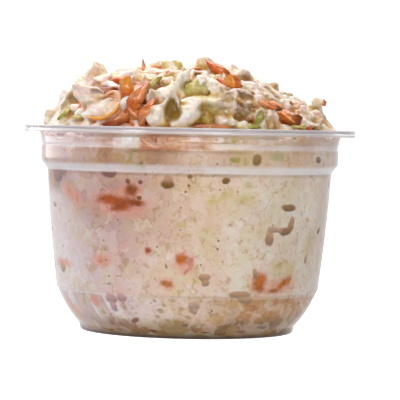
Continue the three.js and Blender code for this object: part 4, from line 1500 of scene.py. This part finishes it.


# Hollows on the heap's front, darkened and warmed with painted shade, partly the juice in them: across, up
# from the rim, wide, tall, colour, share.
SHADED_HOLLOWS = [
    (-29.0, 12.0, 8.2, 2.7, "rust", 0.85),
    (-17.3, 5.6, 7.4, 8.8, "rust", 0.85),
    (-19.5, 2.6, 6.1, 4.0, "rust", 0.8),
    (-23.6, 1.1, 8.8, 2.4, "salmon", 0.5),
    (-13.3, 8.8, 2.4, 8.1, "brown", 0.5),
    (-5.8, 4.8, 4.7, 8.0, "amber", 1.0),
    (-0.3, 13.1, 6.1, 4.7, "lime", 0.8),
    (5.7, 3.4, 4.4, 3.3, "amber", 0.85),
    (7.6, 5.8, 8.0, 6.0, "lime", 0.4),
    (12.6, 9.3, 8.1, 7.4, "tan", 0.5),
    (18.1, 6.4, 6.1, 4.7, "amber", 0.85),
    (18.8, 10.5, 4.7, 3.1, "amber", 0.9),
    (29.1, 10.2, 3.1, 3.8, "tan", 0.6),
    (26.7, 13.0, 5.6, 2.8, "tan", 0.5),
    (23.6, 3.8, 3.7, 4.7, "olive", 0.85),
    (19.2, 17.6, 2.8, 4.2, "tan", 0.55),
    (-41.1, 9.2, 2.8, 4.9, "tan", 0.75),
    (33.7, 3.0, 4.8, 2.4, "brown", 0.5),
    (2.0, 0.6, 8.0, 1.7, "rust", 0.6),
    (-45.7, 7.8, 2.1, 3.5, "tan", 0.4),
    (-12.2, 14.6, 4.8, 2.7, "olive", 0.5),
    (-2.7, 14.8, 2.7, 5.4, "tan", 0.4),
    (-29.1, 8.9, 6.8, 1.7, "tan", 0.4),
    (-35.1, 7.8, 8.9, 1.4, "tan", 0.35),
]


class Neighbours:
    """Which points of a mesh are joined by an edge, to even out values over its surface."""

    def __init__(self, piece):
        mesh = piece.data
        edges = np.empty(len(mesh.edges) * 2, np.int32)
        mesh.edges.foreach_get("vertices", edges)
        edges = edges.reshape(-1, 2)
        self.start = np.concatenate([edges[:, 0], edges[:, 1]])
        self.end = np.concatenate([edges[:, 1], edges[:, 0]])
        self.count = len(mesh.vertices)
        self.share = np.maximum(np.bincount(self.start, minlength=self.count), 1)[:, None]

    def evened(self, values, rounds):
        for _ in range(rounds):
            values = np.stack([
                np.bincount(self.start, values[self.end, axis], self.count) for axis in range(3)], 1)
            values = values / self.share
        return values


def keep_outer_skin(mass):
    """Deletes the closed hollows inside the mass, which nobody sees."""
    top = int(points_of(mass)[:, 2].argmax())
    edit_points("DESELECT")
    leave_edit()
    mass.data.vertices[top].select = True
    bpy.ops.object.mode_set(mode="EDIT")
    bpy.ops.mesh.select_linked()
    bpy.ops.mesh.select_all(action="INVERT")
    bpy.ops.mesh.delete(type="VERT")
    leave_edit()


def merge_under_dressing(source):
    """One skin over all the leaves, as the dressing makes it, with the leaves' colours."""
    pick(source)
    bpy.ops.object.duplicate()
    mass = bpy.context.object
    applied(mass, "REMESH", mode="VOXEL", voxel_size=MASS_VOXEL)
    applied(mass, "SMOOTH", factor=0.5, iterations=2)
    for outwards in (DRESSING_THICK, -DRESSING_THICK):
        applied(mass, "DISPLACE", strength=outwards * MM, mid_level=0)
        applied(mass, "REMESH", mode="VOXEL", voxel_size=MASS_VOXEL)
    keep_outer_skin(mass)
    edit_points()
    bpy.ops.mesh.bisect(plane_co=(0, 0, (BED_BOTTOM + 1) * MM), plane_no=(0, 0, 1), clear_inner=True)
    leave_edit()
    for name in [a.name for a in mass.data.color_attributes]:
        mass.data.color_attributes.remove(mass.data.color_attributes[name])
    carry = mass.modifiers.new("colours", "DATA_TRANSFER")
    carry.object = source
    carry.use_vert_data = True
    carry.data_types_verts = {"COLOR_VERTEX"}
    carry.vert_mapping = "POLYINTERP_NEAREST"
    bpy.ops.object.datalayout_transfer(modifier=carry.name)
    bpy.ops.object.modifier_apply(modifier=carry.name)
    bpy.data.objects.remove(source)
    bpy.ops.object.shade_smooth()
    return mass


def thin_out(mass, most):
    """Leaves out points where the skin is smooth, down to the given number of triangles."""
    count = sum(len(face.vertices) - 2 for face in mass.data.polygons)
    if count > most:
        applied(mass, "DECIMATE", ratio=most / count)


def soak_and_shade(piece):
    """Darkens and warms the crevices in the mesh's colours with painted shade, partly the juice held there,
    and lightens the ridges with a painted highlight.
    """
    colours = np.empty(len(piece.data.vertices) * 4, np.float32)
    piece.data.color_attributes["tint"].data.foreach_get("color", colours)
    colours = colours.reshape(-1, 4)
    neighbours, points, normals = Neighbours(piece), points_of(piece), read_points(piece, "normal")
    # How far each point lies under its surroundings, in millimetres; below zero on ridges.
    deep = ((neighbours.evened(points, REACH_ROUNDS) - points) * normals).sum(1)
    x = points[:, :1]
    # Painted shade in the crevices, darker and warmer, partly juice held there; its colour shifts from left
    # to right.
    crevice_colour = JUICE_AND_SHADE_LEFT + (JUICE_AND_SHADE_MIDDLE - JUICE_AND_SHADE_LEFT) * smooth(-16, -8, x)
    crevice_colour += (JUICE_AND_SHADE_RIGHT - JUICE_AND_SHADE_MIDDLE) * smooth(12, 24, x)
    front = smooth(4, 16, -points[:, 1])
    juice_and_shade = np.clip(deep / 0.6, 0, 2.2) * (0.55 + 0.45 * front)
    tint = neighbours.evened(colours[:, :3], COLOUR_ROUNDS) * crevice_colour ** juice_and_shade[:, None]
    # Painted light: the heap's left paler and more lilac, as lit from that side.
    painted_light_left = smooth(-18, -30, x)
    tint = tint ** (1 - 0.4 * painted_light_left) * (1 + (LILAC_PAINTED_LIGHT - 1) * painted_light_left)
    # Painted highlight: the ridges lightened, more on the front.
    tint = laid_over(tint, (0.45 + 0.25 * front) * smooth(0.05, 1.0, -deep), np.maximum(tint, PALE))
    # Painted shade in the hollows, which are also pushed back.
    for across, up, wide, tall, colour, amount in SHADED_HOLLOWS:
        away = np.hypot((x[:, 0] - across) / (wide / 2), (points[:, 2] - TUB_HEIGHT - up) / (tall / 2))
        share = amount * smooth(1.35, 0.65, away + 0.25 * ripple(points, 2.0, 62))
        share *= smooth(4, 10, -points[:, 1]) * smooth(1.6, 0.2, -deep)
        tint = laid_over(tint, share, 0.6 * np.array(TINTS[colour]))
        points[:, 1] += HOLLOW_DEPTH * share
    crumbs = 0.13 + 0.15 * smooth(-4, 8, points[:, 0])
    rough = ripple(points, 0.8, 63) + ripple(points, 1.4, 64) + 0.8 - 1.6 * np.abs(ripple(points, 1.1, 66))
    points = keep_in(points + (crumbs * rough)[:, None] * normals)
    set_points(piece, points)
    colours[:, :3] = behind_neck(tint, points)
    piece.data.color_attributes["tint"].data.foreach_set("color", colours.ravel())


def add_drops(rng, mass):
    """Drops of dressing that sit on the leaves, found by coming down on them from outside."""
    skin = BVHTree.FromPolygons([v.co for v in mass.data.vertices], faces_of(mass))
    drops = Batch("dressing_drops")
    for i in range(DROP_COUNT):
        centre, normal = spread_place(rng, i, DROP_COUNT, 5.1, (0, 0))
        place, away, _, _ = skin.ray_cast(Vector((centre + normal * 14) * MM), Vector(-normal))
        if place is None:
            continue
        wide, long, tall = rng.uniform(0.35, 0.7), rng.uniform(0.45, 1.0), rng.uniform(0.2, 0.35)
        uneven = 1 + 0.15 * ripple(DROP * 2 + 9 * i, 1.2, 5)
        points = DROP * np.array((long, wide, tall)) * uneven[:, None]
        tints = np.tile(PALE * rng.uniform(0.92, 1.02), (len(points), 1))
        drops.add(placed(points, np.array(place) / MM, np.array(away), any_way(rng)), DROP_FACES, tints)
    return drops


def make_heap():
    rng = random.Random(HEAP_SEED)
    mixed_leaves = ("cream", "pink", "tan", "lime")
    leaves = Batch("leaves")
    add_bed(leaves)
    set_crests(leaves, rng)
    set_front_pieces(leaves, LEAVES, rng, PALE, 0.35)
    set_front_pieces(leaves, STRIPS, rng, PALE, 0.2, as_strip=True)
    scatter_leaves(rng, leaves, 280, sizes=(8.0, 15.0), out=(-0.5, 0.9), lean=0.34, phase=0.2,
                   colours=("cream", "pink", "cream", "tan", "lime", "white"), front_share=0.7)
    scatter_shreds(rng, leaves, 60, sizes=(7, 15), section=(2.0, 1.3), out=(0.0, 1.6),
                   colours=mixed_leaves, edge=PALE, phase=1.3)
    scatter_leaves(rng, leaves, 110, sizes=(3.0, 5.5), out=(0.4, 1.6), lean=0.6, phase=0.9,
                   colours=mixed_leaves, front_share=0.15)
    greens = Batch("green_cabbage")
    set_front_pieces(greens, GREENS, rng, PALE, 0.1)
    scatter_leaves(rng, greens, 34, sizes=(4.0, 9.0), out=(0.6, 1.6), lean=0.3, phase=3.7,
                   colours=("leaf", "lime", "olive", "lime"))
    carrots = Batch("carrot_pieces")
    set_front_pieces(carrots, CARROTS, rng, ORANGE_HIGHLIGHT, 0.2, fibres=0.3)
    set_front_pieces(carrots, THIN_CARROTS, rng, BRIGHT_ORANGE, 0.3, as_strip=True)
    set_curls(carrots)
    scatter_shreds(rng, carrots, 34, sizes=(8, 16), section=(2.4, 1.6), out=(0.2, 1.6),
                   colours=("orange", "salmon", "red", "gold"), edge=BRIGHT_ORANGE, phase=2.6)

    mass = merge_under_dressing(leaves.make())
    thin_out(mass, MASS_TRIANGLES)
    soak_and_shade(mass)
    mass.name = "dressed_cabbage"
    coated(mass, "cabbage")
    coated(carrots.make(), "carrot")
    coated(greens.make(), "greens")
    coated(add_drops(rng, mass).make(), "dressing")


# ------------------------------------------------------- stage and camera

def make_stage():
    """A pale floor that curves up behind the tub, lit evenly enough to look white."""
    half_width, front, back, bend, top = 2.5, -1.8, 1.3, 0.5, 1.6
    turns = np.linspace(0.1, math.pi / 2, 12)
    profile = [(front, 0.0), (back, 0.0)]
    profile += [(back + bend * math.sin(turn), bend - bend * math.cos(turn)) for turn in turns]
    profile.append((back + bend, top))
    mesh = bpy.data.meshes.new("floor")
    points = [(x, y, z) for y, z in profile for x in (-half_width, half_width)]
    faces = [(2 * i, 2 * i + 1, 2 * i + 3, 2 * i + 2) for i in range(len(profile) - 1)]
    mesh.from_pydata(points, [], faces)
    floor = in_scene("floor", mesh)
    material, made = new_material("pale_floor")
    made.dress(Base_Color=(0.9, 0.9, 0.9), Roughness=0.8, Specular_IOR_Level=0.1,
               Emission_Color=(1, 1, 1), Emission_Strength=0.92)
    mesh.materials.append(material)
    floor.visible_diffuse = floor.visible_glossy = False


def soft_light(name, place, size, power, colour):
    light = bpy.data.lights.new(name, "AREA")
    light.shape = "RECTANGLE"
    light.size, light.size_y = size
    light.energy, light.color = power, colour
    lamp = in_scene(name, light)
    lamp.location = place
    lamp.rotation_euler = (Vector(LIT_POINT) - Vector(place)).to_track_quat("-Z", "Y").to_euler()


def make_world(above, below, behind):
    """A plain studio: dim in front and overhead, bright underfoot and behind, as by a white table."""
    world = bpy.data.worlds.new("studio")
    made = Nodes(world)
    way = made.add("SeparateXYZ", Vector=made.add("TexCoord").outputs["Generated"]).outputs
    raised = made.between(way["Z"], -0.7, -0.1)
    backed = made.between(way["Y"], 0.0, 0.7)
    low_sky = made.between(way["Z"], 0.25, 0.7, 1.0, 0.0)
    room = made.mixed(raised, below, above)
    room = made.mixed(made.times(backed, low_sky), room, behind)
    room = made.mixed(made.between(way["X"], 0.15, 0.75, 0.0, 0.3), room, (0.1, 0.09, 0.08))
    made.set(made.tree.nodes["Background"].inputs["Color"], room)
    bpy.context.scene.world = world


def make_lights():
    make_world((0.17, 0.17, 0.17), (0.90, 0.89, 0.88), (0.92, 0.92, 0.94))
    soft_light("key", (-0.42, -0.42, 0.62), (0.2, 0.2), 1.9, (1.0, 0.98, 0.96))
    soft_light("left_card", (-0.62, 0.40, 0.30), (0.7, 0.6), 2.2, (0.94, 0.96, 1.0))
    soft_light("top", (0.0, 0.3, 0.75), (0.8, 0.6), 5.6, (1.0, 1.0, 1.0))
    soft_light("front", (0.15, -0.9, 0.40), (0.6, 0.4), 4.2, (1.0, 0.99, 0.97))
    soft_light("right_card", (0.6, 0.3, 0.2), (0.25, 0.5), 0.2, (1.0, 0.97, 0.94))


def make_camera():
    data = bpy.data.cameras.new("camera")
    data.sensor_width = SENSOR
    data.lens = SENSOR / 2 / math.tan(math.radians(VIEW_ANGLE / 2))
    data.clip_start, data.clip_end = 0.05, 20
    camera = in_scene("camera", data)
    camera.location = CAMERA_PLACE
    camera.rotation_mode = "XYZ"
    camera.rotation_euler = (math.radians(90 - LOOKING_DOWN), 0, 0)
    look = camera.rotation_euler.to_matrix()
    camera.rotation_euler = (look @ Matrix.Rotation(math.radians(CAMERA_ROLL), 3, "Z")).to_euler()
    bpy.context.scene.camera = camera


make_camera()
make_lights()
make_stage()
make_tub()
make_slaw()
make_heap()
bpy.context.scene.view_settings.view_transform = "Standard"
